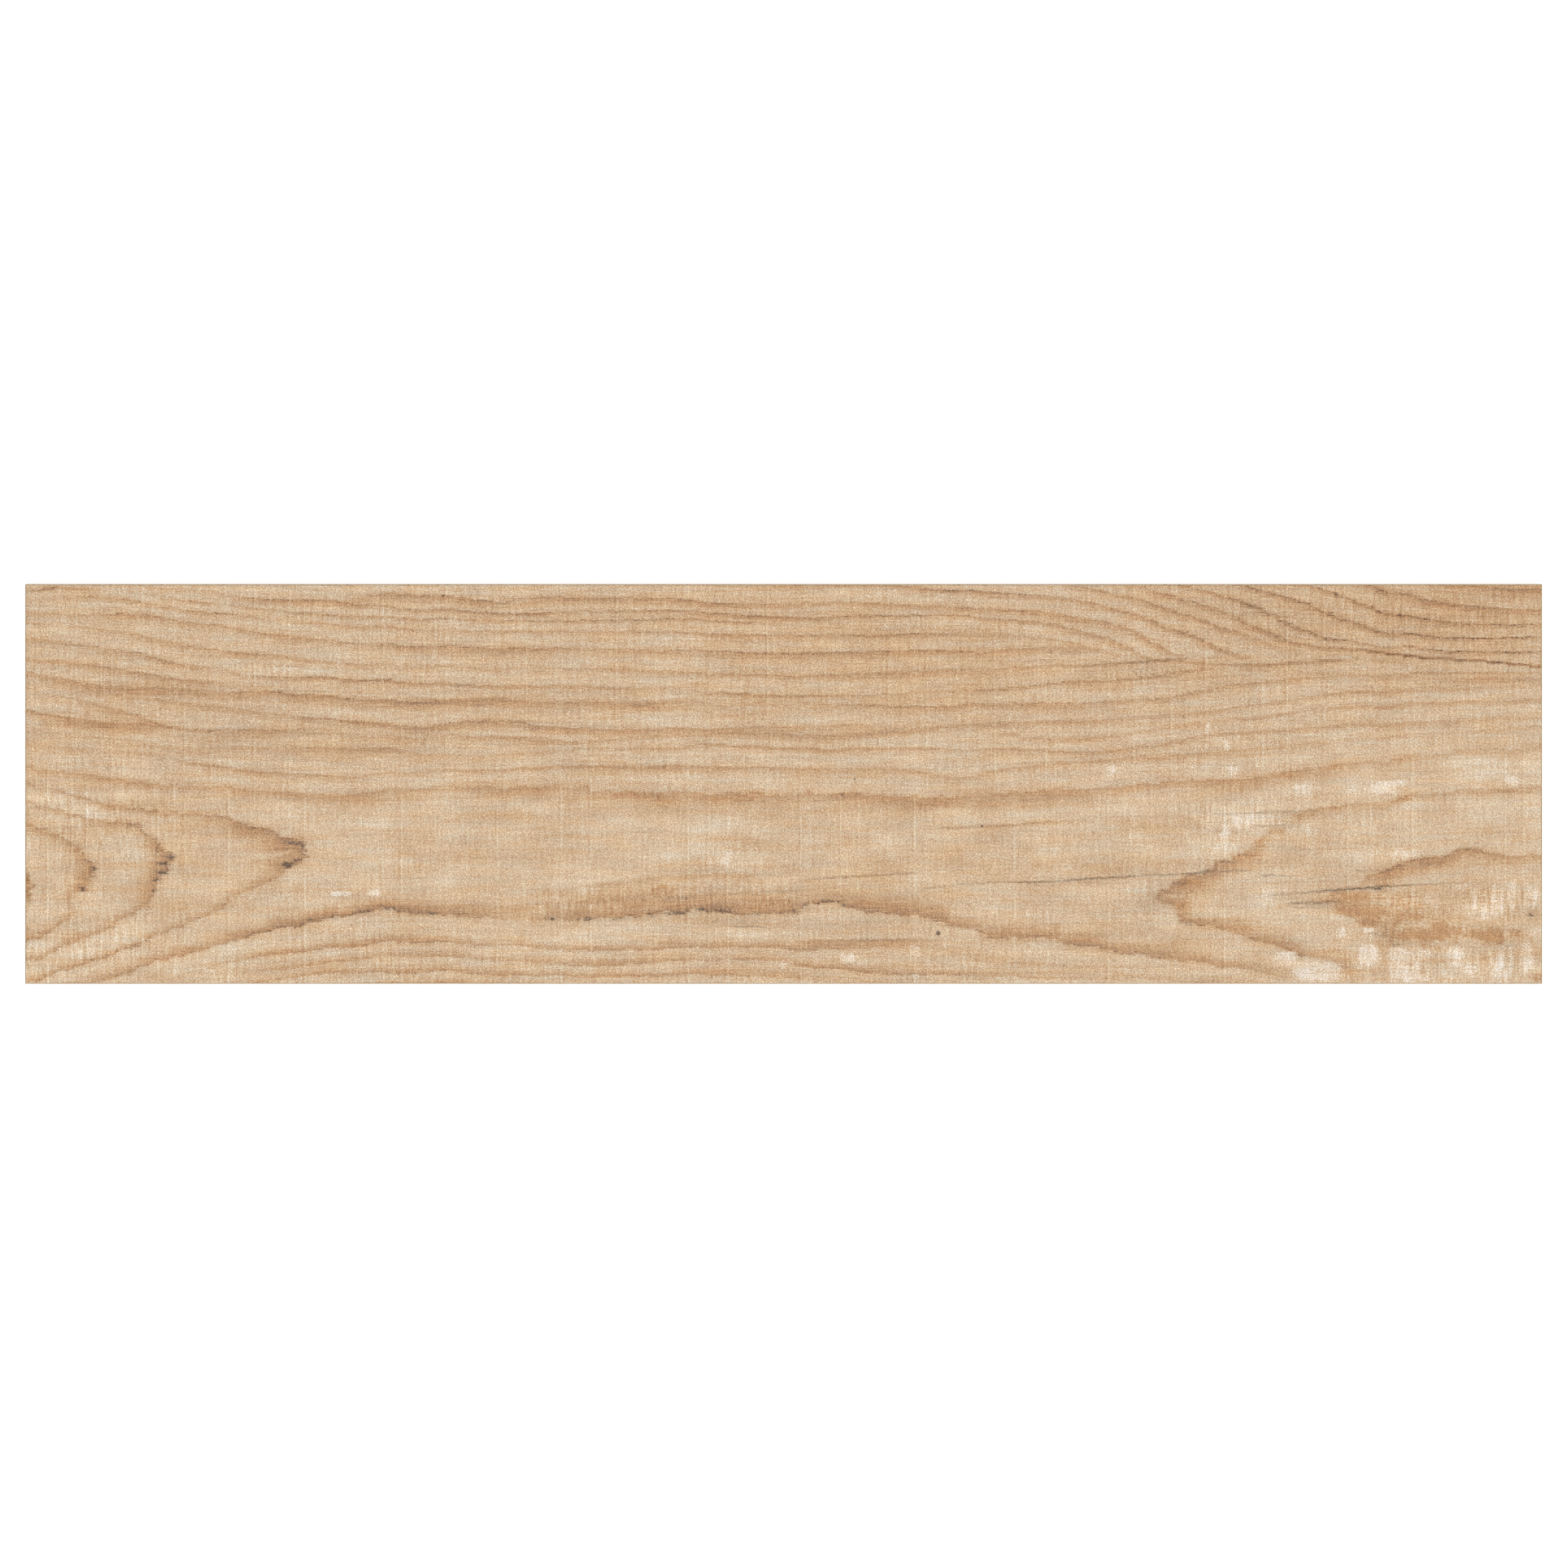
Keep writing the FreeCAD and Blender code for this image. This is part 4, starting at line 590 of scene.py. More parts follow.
check_off = np.full(U.shape, 30.0)
check_amount = np.zeros_like(U)
for points, amount in CHECKS:
    px, py = zip(*points)
    off = V - np.interp(U, px, py)
    fade = np.clip((U - px[0]) / 10 + 1, 0, 1) * np.clip((px[-1] - U) / 10 + 1, 0, 1)
    near = (np.abs(off) < np.abs(check_off)) & (fade > 0)
    check_off[near] = off[near]
    check_amount[near] = (run(amount, U) * fade * np.exp(-(off / 6) ** 2))[near]

speck_u, speck_v, speck_r = np.full(U.shape, 30.0), np.full(U.shape, 30.0), np.zeros_like(U)
for x, y, r in SPECKS:
    near = np.hypot(U - x, V - y) < 14
    speck_u[near], speck_v[near], speck_r[near] = (U - x)[near], (V - y)[near], r

seams = np.array(SEAMS)
nearest = seams[np.abs(columns[:, None] - seams[:, 0]).argmin(1)]
seam_off = np.repeat((columns - nearest[:, 0])[:, None], NY + 1, 1)
seam_amount = np.exp(-(seam_off / 6) ** 2) * np.where(is_up, nearest[:, 1:2], nearest[:, 2:3])

# The face's relief: late wood stands a little proud, the saw marks step it, and the
# deepest of it is 0.15 mm under the plane of the face.
rng = np.random.default_rng(11)


def smooth(values, size, axis):
    kernel = np.ones(size) / size
    return np.apply_along_axis(lambda a: np.convolve(np.pad(a, size // 2, mode="edge"), kernel, "valid")[: len(a)], axis, values)


fract = phase - np.floor(phase)
ring_gap = 1 / np.maximum(np.hypot(grad_u, grad_v), 1e-3)
ridge = marks[..., 0] * np.exp(-(1 - fract) * ring_gap / np.maximum(marks[..., 1], 1))
strips = np.repeat(rng.random((NX // 4 + 2, 1)), 4, 0)[: NX + 1] * 0.25
ripple = smooth(smooth(rng.standard_normal(U.shape), 9, 0), 3, 1)
height = 0.10 * np.clip(ridge, 0, 1) + 0.035 * strips + 0.012 * ripple / ripple.std() - 0.03 * soot
height = np.clip(height - height.max(), -0.15, 0)
Z = T + height * 1e-3

# ------------------------------------------------------------------ the slab's mesh
verts, faces, kinds = [], [], []
top = np.arange((NX + 1) * (NY + 1)).reshape(NX + 1, NY + 1)
verts.extend(np.stack([GX, GY, Z], -1).reshape(-1, 3).tolist())
for i in range(NX):
    for j in range(NY):
        faces.append((top[i, j], top[i, j + 1], top[i + 1, j + 1], top[i + 1, j]))
kinds += [0] * len(faces)
TOP_FACES = len(faces)
TOP_VERTS = len(verts)


def add_loop(points):
    start = len(verts)
    verts.extend(points)
    return list(range(start, start + len(points)))


def zip_loops(a, ta, b, tb, kind):
    """Joins two closed loops that start at the same corner and run the same way."""
    i = j = 0
    while i < len(a) or j < len(b):
        next_a = ta[i + 1] if i + 1 < len(a) else 1.0 if i < len(a) else 2.0
        next_b = tb[j + 1] if j + 1 < len(b) else 1.0 if j < len(b) else 2.0
        if next_a <= next_b:
            faces.append((a[i % len(a)], a[(i + 1) % len(a)], b[j % len(b)]))
            i += 1
        else:
            faces.append((a[i % len(a)], b[(j + 1) % len(b)], b[j % len(b)]))
            j += 1
        kinds.append(kind)


def along(points):
    """How far round its rectangle each point of a loop is, 0 to 1, by side."""
    out = []
    pts = np.array(points)[:, :2]
    lo, hi = pts.min(0), pts.max(0)
    for x, y in pts:
        gaps = [abs(y - lo[1]), abs(x - hi[0]), abs(y - hi[1]), abs(x - lo[0])]
        side = int(np.argmin(gaps))
        if side == 0 and x == hi[0]:
            side = 1
        t = [(x - lo[0]) / (hi[0] - lo[0]), (y - lo[1]) / (hi[1] - lo[1]),
             (hi[0] - x) / (hi[0] - lo[0]), (hi[1] - y) / (hi[1] - lo[1])][side]
        out.append((side + t) / 4)
    return out


# the rim of the face, anticlockwise from the -x -y corner
rim = [top[i, NY] for i in range(NX)] + [top[NX, NY - j] for j in range(NY)]
rim += [top[NX - i, 0] for i in range(NX)] + [top[0, j] for j in range(NY)]
rim = [int(v) for v in rim]


def rectangle(inset, z, xs, ys):
    """A loop of points at the given stations along the slab's sides."""
    hx, hy = L / 2 - inset, W / 2 - inset
    points = [(x, -hy) for x in xs[:-1]] + [(hx, y) for y in ys[:-1]]
    points += [(x, hy) for x in xs[:0:-1]] + [(-hx, y) for y in ys[:0:-1]]
    return [(min(max(x, -hx), hx), min(max(y, -hy), hy), z) for x, y in points]


fine_x, fine_y = list(gx), list(gy[::-1])
fine_x[0], fine_x[-1], fine_y[0], fine_y[-1] = -L / 2, L / 2, -W / 2, W / 2
wall_top = add_loop(rectangle(0, T - ARRIS, fine_x, fine_y))
for k in range(len(rim)):
    n = (k + 1) % len(rim)
    faces.append((rim[k], wall_top[k], wall_top[n], rim[n]))
    kinds.append(1)

PITCH, RIB, ROUND, DEPTH = 0.026, 0.003, 0.003, 0.0007
CELLS_X, CELLS_Y = 32, 8
field_x = [(i - CELLS_X / 2) * PITCH for i in range(CELLS_X + 1)]
field_y = [(j - CELLS_Y / 2) * PITCH for j in range(CELLS_Y + 1)]
side_x, side_y = [-L / 2] + field_x[1:-1] + [L / 2], [-W / 2] + field_y[1:-1] + [W / 2]
wall_low = add_loop(rectangle(0, BACK_ARRIS, side_x, side_y))
foot = add_loop(rectangle(BACK_ARRIS, 0.0, side_x, side_y))
zip_loops(
    wall_top, along([verts[v] for v in wall_top]), wall_low, along([verts[v] for v in wall_low]), 1
)
# the fan above runs from the upper loop to the lower one, outward faces

mesh_corner = {}
for i, x in enumerate(field_x):
    for j, y in enumerate(field_y):
        mesh_corner[i, j] = len(verts)
        verts.append((x, y, 0.0))
field = [mesh_corner[i, 0] for i in range(CELLS_X)] + [mesh_corner[CELLS_X, j] for j in range(CELLS_Y)]
field += [mesh_corner[CELLS_X - i, CELLS_Y] for i in range(CELLS_X)]
field += [mesh_corner[0, CELLS_Y - j] for j in range(CELLS_Y)]
for a, b in ((wall_low, foot), (foot, field)):
    for k in range(len(a)):
        n = (k + 1) % len(a)
        faces.append((a[k], b[k], b[n], a[n]))
        kinds.append(2)

quarter = np.linspace(0, np.pi / 2, 4)


def rounded(cx, cy, inset, z):
    half, r = (PITCH - RIB) / 2 - inset, ROUND - inset
    points = []
    for k, (sx, sy) in enumerate(((1, 1), (-1, 1), (-1, -1), (1, -1))):
        for a in quarter + k * np.pi / 2:
            points.append((cx + sx * (half - r) + r * np.cos(a), cy + sy * (half - r) + r * np.sin(a), z))
    return points


FLOOR_INSET = DEPTH * np.tan(np.radians(40))
for i in range(CELLS_X):
    for j in range(CELLS_Y):
        cx, cy = (field_x[i] + field_x[i + 1]) / 2, (field_y[j] + field_y[j + 1]) / 2
        mouth = add_loop(rounded(cx, cy, 0, 0.0))
        floor = add_loop(rounded(cx, cy, FLOOR_INSET, DEPTH))
        corner = [mesh_corner[i + 1, j + 1], mesh_corner[i, j + 1], mesh_corner[i, j], mesh_corner[i + 1, j]]
        for k in range(4):
            for m in range(3):
                faces.append((corner[k], mouth[4 * k + m + 1], mouth[4 * k + m]))
                kinds.append(2)
            a, b = mouth[4 * k + 3], mouth[(4 * k + 4) % 16]
            faces.append((corner[k], corner[(k + 1) % 4], b, a))
            kinds.append(2)
        for k in range(16):
            n = (k + 1) % 16
            faces.append((mouth[k], mouth[n], floor[n], floor[k]))
            kinds.append(2)
        faces.append(tuple(floor[::-1]))
        kinds.append(2)

mesh = bpy.data.meshes.new("plank")
mesh.from_pydata(verts, [], faces)
mesh.validate()
shell = bmesh.new()
shell.from_mesh(mesh)
bmesh.ops.recalc_face_normals(shell, faces=shell.faces)  # every face looks outwards
shell.to_mesh(mesh)
shell.free()
assert len(mesh.polygons) == len(faces)
plank = bpy.data.objects.new("plank", mesh)
bpy.context.scene.collection.objects.link(plank)
mesh.polygons.foreach_set("material_index", kinds)
mesh.polygons.foreach_set("use_smooth", [k == 0 for k in kinds])


def attribute(name, first, second, third):
    """Three numbers a point of the face, and zero elsewhere."""
    data = np.zeros((len(verts), 3), np.float32)
    data[:TOP_VERTS] = np.stack([first, second, third], -1).reshape(-1, 3)
    mesh.attributes.new(name, "FLOAT_VECTOR", "POINT").data.foreach_set("vector", data.ravel())


attribute("ring", phase, grad_u, grad_v)
attribute("mark", marks[..., 0], marks[..., 1], marks[..., 2])
attribute("tone", light, warm, white)
attribute("smut", soot, check_off, check_amount)
attribute("speck", speck_u, speck_v, speck_r)
attribute("seam", seam_off, seam_amount, flow)
attribute("patch", brown, upright, branch)

# Texture space: the face in two halves, one above the other, then the back and edges.
uv = mesh.uv_layers.new(name="OFBake")
loop_vertex = np.zeros(len(mesh.loops), np.int64)
mesh.loops.foreach_get("vertex_index", loop_vertex)
loop_face = np.zeros(len(mesh.loops), np.int64)
starts = np.zeros(len(mesh.polygons), np.int64)
totals = np.zeros(len(mesh.polygons), np.int64)
mesh.polygons.foreach_get("loop_start", starts)
mesh.polygons.foreach_get("loop_total", totals)
loop_face = np.repeat(np.arange(len(totals)), totals)
co = np.array(verts)[loop_vertex]
kind = np.array(kinds)[loop_face]
centre_x = np.zeros(len(totals))
np.add.at(centre_x, loop_face, co[:, 0])
centre_x = (centre_x / totals)[loop_face]
centre = np.zeros((len(totals), 3))
np.add.at(centre, loop_face, co)
centre = (centre / totals[:, None])[loop_face]
coords = np.zeros((len(co), 2))
across = (co[:, 1] + W / 2) / W
on_left = centre_x < 0
left_u = (co[:, 0] + L / 2) / (L / 2)
right_u = co[:, 0] / (L / 2)
face_u = np.where(on_left, left_u, right_u)
face_v = np.where(on_left, 0.605, 0.205) + 0.39 * across
is_face, is_back = kind == 0, kind == 2
coords[is_face] = np.stack([0.01 + 0.98 * face_u, face_v], -1)[is_face]
coords[is_back] = np.stack([0.01 + 0.98 * (0.5 - co[:, 0] / L), 0.035 + 0.16 * across], -1)[is_back]
# edges: the four sides end to end
perimeter = 2 * (L + W)
off_y_low, off_x_high = centre[:, 1] + W / 2, L / 2 - centre[:, 0]
off_y_high, off_x_low = W / 2 - centre[:, 1], centre[:, 0] + L / 2
which = np.argmin(np.stack([off_y_low, off_x_high, off_y_high, off_x_low]), 0)
run_on = np.choose(which, [co[:, 0] + L / 2, L + co[:, 1] + W / 2, L + W + L / 2 - co[:, 0], 2 * L + W + W / 2 - co[:, 1]])
is_edge = kind == 1
coords[is_edge] = np.stack([0.01 + 0.98 * run_on / perimeter, 0.006 + 0.020 * co[:, 2] / T], -1)[is_edge]
uv.data.foreach_set("uv", coords.astype(np.float32).ravel())


# ------------------------------------------------------------------------ materials
class Num:
    """A number worked out by a material's nodes."""

    def __init__(self, tree, socket):
        self.tree, self.socket = tree, socket

    def op(self, operation, *others):
        node = self.tree.nodes.new("ShaderNodeMath")
        node.operation = operation
        for k, value in enumerate((self, *others)):
            if isinstance(value, Num):
                self.tree.links.new(value.socket, node.inputs[k])
            else:
                node.inputs[k].default_value = value
        return Num(self.tree, node.outputs[0])

    def __add__(self, o):
        return self.op("ADD", o)

    __radd__ = __add__

    def __sub__(self, o):
        return self.op("SUBTRACT", o)

    def __mul__(self, o):
        return self.op("MULTIPLY", o)

    __rmul__ = __mul__

    def __truediv__(self, o):
        return self.op("DIVIDE", o)

    def fade(self, length):
        """exp(-self / length)"""
        return (self / length * -1.0).op("EXPONENT")

    def ramp(self, low, high, out_low=0.0, out_high=1.0):
        """Straight from out_low at low to out_high at high, and level past them."""
        node = self.tree.nodes.new("ShaderNodeMapRange")
        node.clamp = True
        self.tree.links.new(self.socket, node.inputs["Value"])
        for name, value in (("From Min", low), ("From Max", high), ("To Min", out_low), ("To Max", out_high)):
            node.inputs[name].default_value = value
        return Num(self.tree, node.outputs["Result"])


class Print:
    """One material's node tree, with the slab's own coordinates."""

    def __init__(self, name):
        self.material = bpy.data.materials.new(name)
        self.material.use_nodes = True
        self.tree = self.material.node_tree
        self.tree.nodes.clear()
        self.out = self.tree.nodes.new("ShaderNodeOutputMaterial")
        self.bsdf = self.tree.nodes.new("ShaderNodeBsdfPrincipled")
        self.tree.links.new(self.bsdf.outputs["BSDF"], self.out.inputs["Surface"])
        where = self.tree.nodes.new("ShaderNodeTexCoord")
        split = self.tree.nodes.new("ShaderNodeSeparateXYZ")
        self.tree.links.new(where.outputs["Object"], split.inputs[0])
        self.x, self.y, self.z = (Num(self.tree, split.outputs[k]) for k in range(3))
        self.u = self.x * ((X1 - X0) / L) + ((X1 - X0) / 2 + X0)
        self.v = self.y * (-(Y1 - Y0) / W) + ((Y1 - Y0) / 2 + Y0)
        self.seed = 0

    def vector(self, a, b, c=0.0):
        node = self.tree.nodes.new("ShaderNodeCombineXYZ")
        for k, value in enumerate((a, b, c)):
            if isinstance(value, Num):
                self.tree.links.new(value.socket, node.inputs[k])
            else:
                node.inputs[k].default_value = value
        return node.outputs[0]

    def noise(self, a, b, length_a, length_b, detail=0.0, colour=False):
        """Soft noise about 0, some -0.5 to 0.5, stretched over a and b."""
        self.seed += 1
        node = self.tree.nodes.new("ShaderNodeTexNoise")
        node.noise_dimensions = "2D"
        node.inputs["Scale"].default_value = 1.0
        node.inputs["Detail"].default_value = detail
        at = self.vector(a / length_a + 37.7 * self.seed, b / length_b + 11.3 * self.seed)
        self.tree.links.new(at, node.inputs["Vector"])
        if colour:
            return node.outputs["Color"]
        return Num(self.tree, node.outputs[0]) - 0.5

    def strips(self, a, width, offset=0.0):
        """A level from -0.5 to 0.5 that jumps from strip to strip along a."""
        node = self.tree.nodes.new("ShaderNodeTexVoronoi")
        node.voronoi_dimensions = "1D"
        node.inputs["Scale"].default_value = 1.0
        self.tree.links.new((a / width + offset).socket, node.inputs["W"])
        split = self.tree.nodes.new("ShaderNodeSeparateColor")
        self.tree.links.new(node.outputs["Color"], split.inputs[0])
        return Num(self.tree, split.outputs[0]) - 0.5

    def attribute(self, name):
        node = self.tree.nodes.new("ShaderNodeAttribute")
        node.attribute_name = name
        split = self.tree.nodes.new("ShaderNodeSeparateXYZ")
        self.tree.links.new(node.outputs["Vector"], split.inputs[0])
        return [Num(self.tree, split.outputs[k]) for k in range(3)]

    def palette(self, level, stops, constant=False):
        """Colours by grey level; each stop is (level, (r, g, b)) in 0..255."""
        node = self.tree.nodes.new("ShaderNodeValToRGB")
        low, high = stops[0][0], stops[-1][0]
        elements = node.color_ramp.elements
        while len(elements) < len(stops):
            elements.new(0.5)
        for element, (at, colour) in zip(elements, stops):
            element.position = (at - low) / (high - low)
            element.color = (*[linear(c) for c in colour], 1.0)
        if constant:
            node.color_ramp.interpolation = "CONSTANT"
        self.tree.links.new(level.ramp(low, high).socket, node.inputs[0])
        return node.outputs[0]

    def mix(self, amount, first, second):
        node = self.tree.nodes.new("ShaderNodeMix")
        node.data_type = "RGBA"
        self.tree.links.new(amount.socket, node.inputs[0])
        for socket, value in ((node.inputs[6], first), (node.inputs[7], second)):
            if isinstance(value, tuple):
                socket.default_value = (*[linear(c) for c in value], 1.0)
            else:
                self.tree.links.new(value, socket)
        return node.outputs[2]

    def times(self, colour, factor):
        """A colour times a vector of three factors."""
        node = self.tree.nodes.new("ShaderNodeVectorMath")
        node.operation = "MULTIPLY"
        self.tree.links.new(colour, node.inputs[0])
        self.tree.links.new(factor, node.inputs[1])
        return node.outputs[0]

    def bump(self, height, distance):
        node = self.tree.nodes.new("ShaderNodeBump")
        node.inputs["Strength"].default_value = 1.0
        node.inputs["Distance"].default_value = distance
        self.tree.links.new(height.socket, node.inputs["Height"])
        self.tree.links.new(node.outputs[0], self.bsdf.inputs["Normal"])

    def finish(self, colour, roughness):
        self.tree.links.new(colour, self.bsdf.inputs["Base Color"])
        self.tree.links.new(roughness.socket, self.bsdf.inputs["Roughness"])
        self.bsdf.inputs["IOR"].default_value = 1.5
        return self.material


# What the studio's light adds and takes is allowed for in the colours.
LIFT, GAIN = 0.034, 1.026


def linear(level):
    """Linear reflectance of a colour that should show as this level, 0 to 255."""
    level = level / 255
    shown = level / 12.92 if level <= 0.04045 else ((level + 0.055) / 1.055) ** 2.4
    return max((shown - LIFT) / GAIN, 0.002)


def printed_face():
    """The wood figure, first as grey levels from 0 to 255, then coloured."""
    p = Print("printed_wood_face")
    u, v = p.u, p.v
    ring, slope_u, slope_v = p.attribute("ring")
    strong, width, edge = p.attribute("mark")
    light_, warm_, white_ = p.attribute("tone")
    soot_, check_off_, check_ = p.attribute("smut")
    speck_u_, speck_v_, speck_r_ = p.attribute("speck")
    seam_off_, seam_, flow_ = p.attribute("seam")
    brown_, upright_, branch_ = p.attribute("patch")
    across = v * 0.45 + flow_ * 5.5

    saw = p.strips(u, 11.0)
    saw_wide = p.strips(u, 46.0, 7.3)
    fibre = p.noise(u, v, 55.0, 1.9, 1.0)
    jitter = p.noise(u, v, 3.2, 2.6, 1.0)
    shift_u = fibre * 20.0
    plain = (flow_.op("ABSOLUTE") * -1.0 + 1.0).op("MAXIMUM", 0.0)
    shift_v = saw * (plain * 2.0 + 1.8) + saw_wide * 1.8 + jitter * 3.2
    steep = (slope_u * slope_u + slope_v * slope_v + 1e-8).op("SQRT")
    q = ring + slope_u * shift_u + slope_v * shift_v - steep * 1.3
    gap = (steep.op("POWER", -1.0)).op("MINIMUM", 3000.0)
    inner = q.op("FRACT")
    behind = (inner * -1.0 + 1.0) * gap  # to the next edge outward
    ahead = inner * gap  # from the last edge inward

    # late wood: darkest at the edge, fading inward along the fibres
    streak = p.noise(u, v, 38.0, 1.5, 1.0)
    late = strong * ((behind / width).op("POWER", 2.1) * -1.0).op("EXPONENT") * (streak * 1.3 + 1.0)
    broken = p.noise(u, v, 12.0, 2.0, 1.0).ramp(-0.14, 0.10)
    dots = p.noise(u, v, 3.0, 4.0, 1.0).ramp(-0.12, 0.14)
    rim_dark = edge * behind.fade(1.5) * broken
    rim_dots = rim_dark * dots
    shoulder = strong * ahead.fade(2.6)

    # textures of the print
    speckle = p.noise(u, v, 1.6, 1.5, 1.0)
    grain = p.noise(u, v, 3.2, 2.3, 1.0)
    worm_a = p.noise(u * 0.82 + v * 0.57, v * 0.82 - u * 0.57, 5.0, 1.8)
    worm_b = p.noise(u * 0.82 - v * 0.57, v * 0.82 + u * 0.57, 4.4, 1.8)
    thread = p.noise(u, v, 1.9, 30.0, 1.0)
    brush = p.noise(u, v, 4.8, 24.0, 1.0)
    mottle = p.noise(u, v, 11.0, 6.0, 1.0)
    fine = p.noise(u, across, 34.0, 1.0, 1.0)
    wide = p.noise(u, across, 95.0, 2.6, 1.0)
    wisp = p.noise(u, across, 130.0, 1.5, 1.0).ramp(0.06, 0.30)
    drift = p.noise(u, v, 150.0, 16.0, 2.0)
    hue = p.noise(u, v, 60.0, 10.0, 2.0)
    hue_fine = p.noise(u, across, 45.0, 1.3, 1.0)
    weft = p.noise(u, v, 13.0, 1.4, 1.0)
    seam_part = seam_ * p.noise(u, v, 60.0, 50.0).ramp(-0.35, 0.1)
    seam_line = seam_part * (seam_off_ * seam_off_ * -0.8).op("EXPONENT")
    beside = seam_off_ + 2.4
    seam_dark = seam_part * (beside * beside * -0.7).op("EXPONENT")

    hatch = p.noise(u, v, 3.4, 26.0, 1.0)
    cloud = p.noise(u, v, 85.0, 34.0, 1.0)
    level = light_ + 186.2
    level = level - late * 36.0 - rim_dark * 34.0 - rim_dots * 78.0 - shoulder * 17.0 - wisp * 9.0
    bright = speckle * (plain * -4.0 + 65.0) + grain * 10.0  # and as much again over the finished colour
    level = level + bright + worm_a * 24.0 + worm_b * 18.0
    level = level + thread * 27.0 + brush * (plain * -5.0 + 20.0) + mottle * (plain * -4.0 + 10.0) + weft * (plain * -6.0 + 21.0) + fine * (plain * -8.0 + 36.0) + wide * (plain * -13.0 + 24.0) + drift * (plain * 8.0 + 18.0)
    level = level + hatch * (upright_ * 66.0 + 6.0) + cloud * (plain * 33.0 + 3.0)
    level = level + saw * 4.5 + saw_wide * 3.0 + seam_line * 22.0 - seam_dark * 14.0
    # brown patches, ragged along and across
    combed = p.noise(u, v, 4.2, 15.0, 2.0)
    laid = p.noise(u, v, 15.0, 2.4, 2.0)
    ragged = (brown_ * 1.5 + combed * 1.6 + laid * 1.8 - 0.42).ramp(0.0, 0.85) * brown_.ramp(0.05, 0.3)
    level = level - ragged * (late * -0.6 + 1.0).op("MAXIMUM", 0.3) * 38.0 - branch_ * (laid * 1.6 + 0.9).ramp(0.3, 1.1) * 34.0
    level = level + laid * upright_ * 24.0
    # whitened patches, in short strokes
    strokes = combed.op("MAXIMUM", laid * 0.8)
    wash = (white_ * 1.7 + strokes * 2.2 + speckle * 0.7 - 0.62).ramp(0.0, 0.8) * white_.ramp(0.03, 0.20)
    level = level + wash * 30.0

    colour = p.palette(level, [
        (50, (74, 54, 42)), (75, (104, 76, 56)), (90, (124, 90, 62)), (107, (141, 107, 78)), (125, (161, 125, 93)), (140, (179, 140, 104)), (150, (188, 150, 113)),
        (160, (196, 160, 123)), (170, (203, 170, 134)), (180, (209.5, 180, 147)), (190, (216.5, 190, 158.5)), (200, (223, 200, 170)),
        (210, (230, 210, 183)), (221, (239, 221, 198)), (236, (248, 236, 218)),
    ])
    jitter_colour = p.noise(u, v, 2.0, 1.7, 1.0, colour=True)
    split = p.tree.nodes.new("ShaderNodeSeparateColor")
    p.tree.links.new(jitter_colour, split.inputs[0])
    red, blue = (Num(p.tree, split.outputs[k]) - 0.5 for k in (0, 2))
    tint = late * 0.035 + ragged * 0.055 + branch_ * 0.04 + warm_ * 0.035 + plain * 0.008 + hue * 0.18 + hue_fine * 0.025 + wisp * 0.02
    glow = bright * 0.0126 + 1.0
    factor = p.vector((tint - wash * 0.01 + red * 0.11 + 1.0) * glow, glow, (tint * -1.5 + wash * 0.05 + blue * 0.14 + 1.0) * glow)
    colour = p.times(colour, factor)

    # soot and checks
    streaky = p.noise(u, v, 10.0, 1.4, 2.0).ramp(-0.22, 0.10)
    check_line = (check_off_ + p.noise(u, v, 9.0, 50.0, 2.0) * 4.0)
    check_line = (check_line * check_line * -0.6).op("EXPONENT") * check_
    speck_d = ((speck_u_ * speck_u_ + speck_v_ * speck_v_).op("SQRT") + jitter * 1.5) - speck_r_
    dot = speck_d.ramp(-0.6, 0.8, 1.0, 0.0) * speck_r_.op("GREATER_THAN", 0.4)
    bits = (soot_ * 2.2 + laid * 2.0 + grain * 1.8 + dots * 0.5 - 1.15).ramp(0.0, 0.7) * soot_.ramp(0.06, 0.25)
    dark = (bits * 0.85).op("MAXIMUM", soot_ * 0.28).op("MAXIMUM", check_line * (streaky * 0.5 + 0.5) * (dots * 0.45 + 0.65)).op("MAXIMUM", dot)
    colour = p.mix((dark * 1.1).op("MINIMUM", 0.92) * 0.92, colour, (94, 78, 66))

    height = fine * 0.8 + grain * 0.4 + thread * 0.25
    p.bump(height, 0.00006)
    rough = (fine * 0.25 + grain * 0.2 + 0.60) - late * 0.05
    return p.finish(colour, rough.ramp(0.35, 0.85, 0.35, 0.85))


def ground_edge():
    """Cut edge of the body: fine grog, with the grinding wheel's marks along it."""
    p = Print("ground_porcelain_edge")
    span = p.x + p.y
    grog = p.noise(span, p.z, 0.0006, 0.0006, 2.0)
    lines = p.noise(span, p.z, 0.020, 0.00022, 1.0)
    blotch = p.noise(span, p.z, 0.035, 0.006, 2.0)
    grit = p.noise(span, p.z, 0.0011, 0.0009).ramp(0.22, 0.30)
    level = grog * 40.0 + lines * 22.0 + blotch * 18.0 + 160.0
    colour = p.palette(level, [(110, (140, 116, 92)), (140, (172, 148, 121)), (160, (190, 168, 140)), (180, (206, 186, 160)), (215, (226, 210, 188))])
    colour = p.mix(grit * 0.5, colour, (112, 92, 76))
    p.bump(lines + grog * 0.6, 0.00008)
    return p.finish(colour, (lines * 0.3 + 0.72).ramp(0.5, 0.95, 0.5, 0.95))


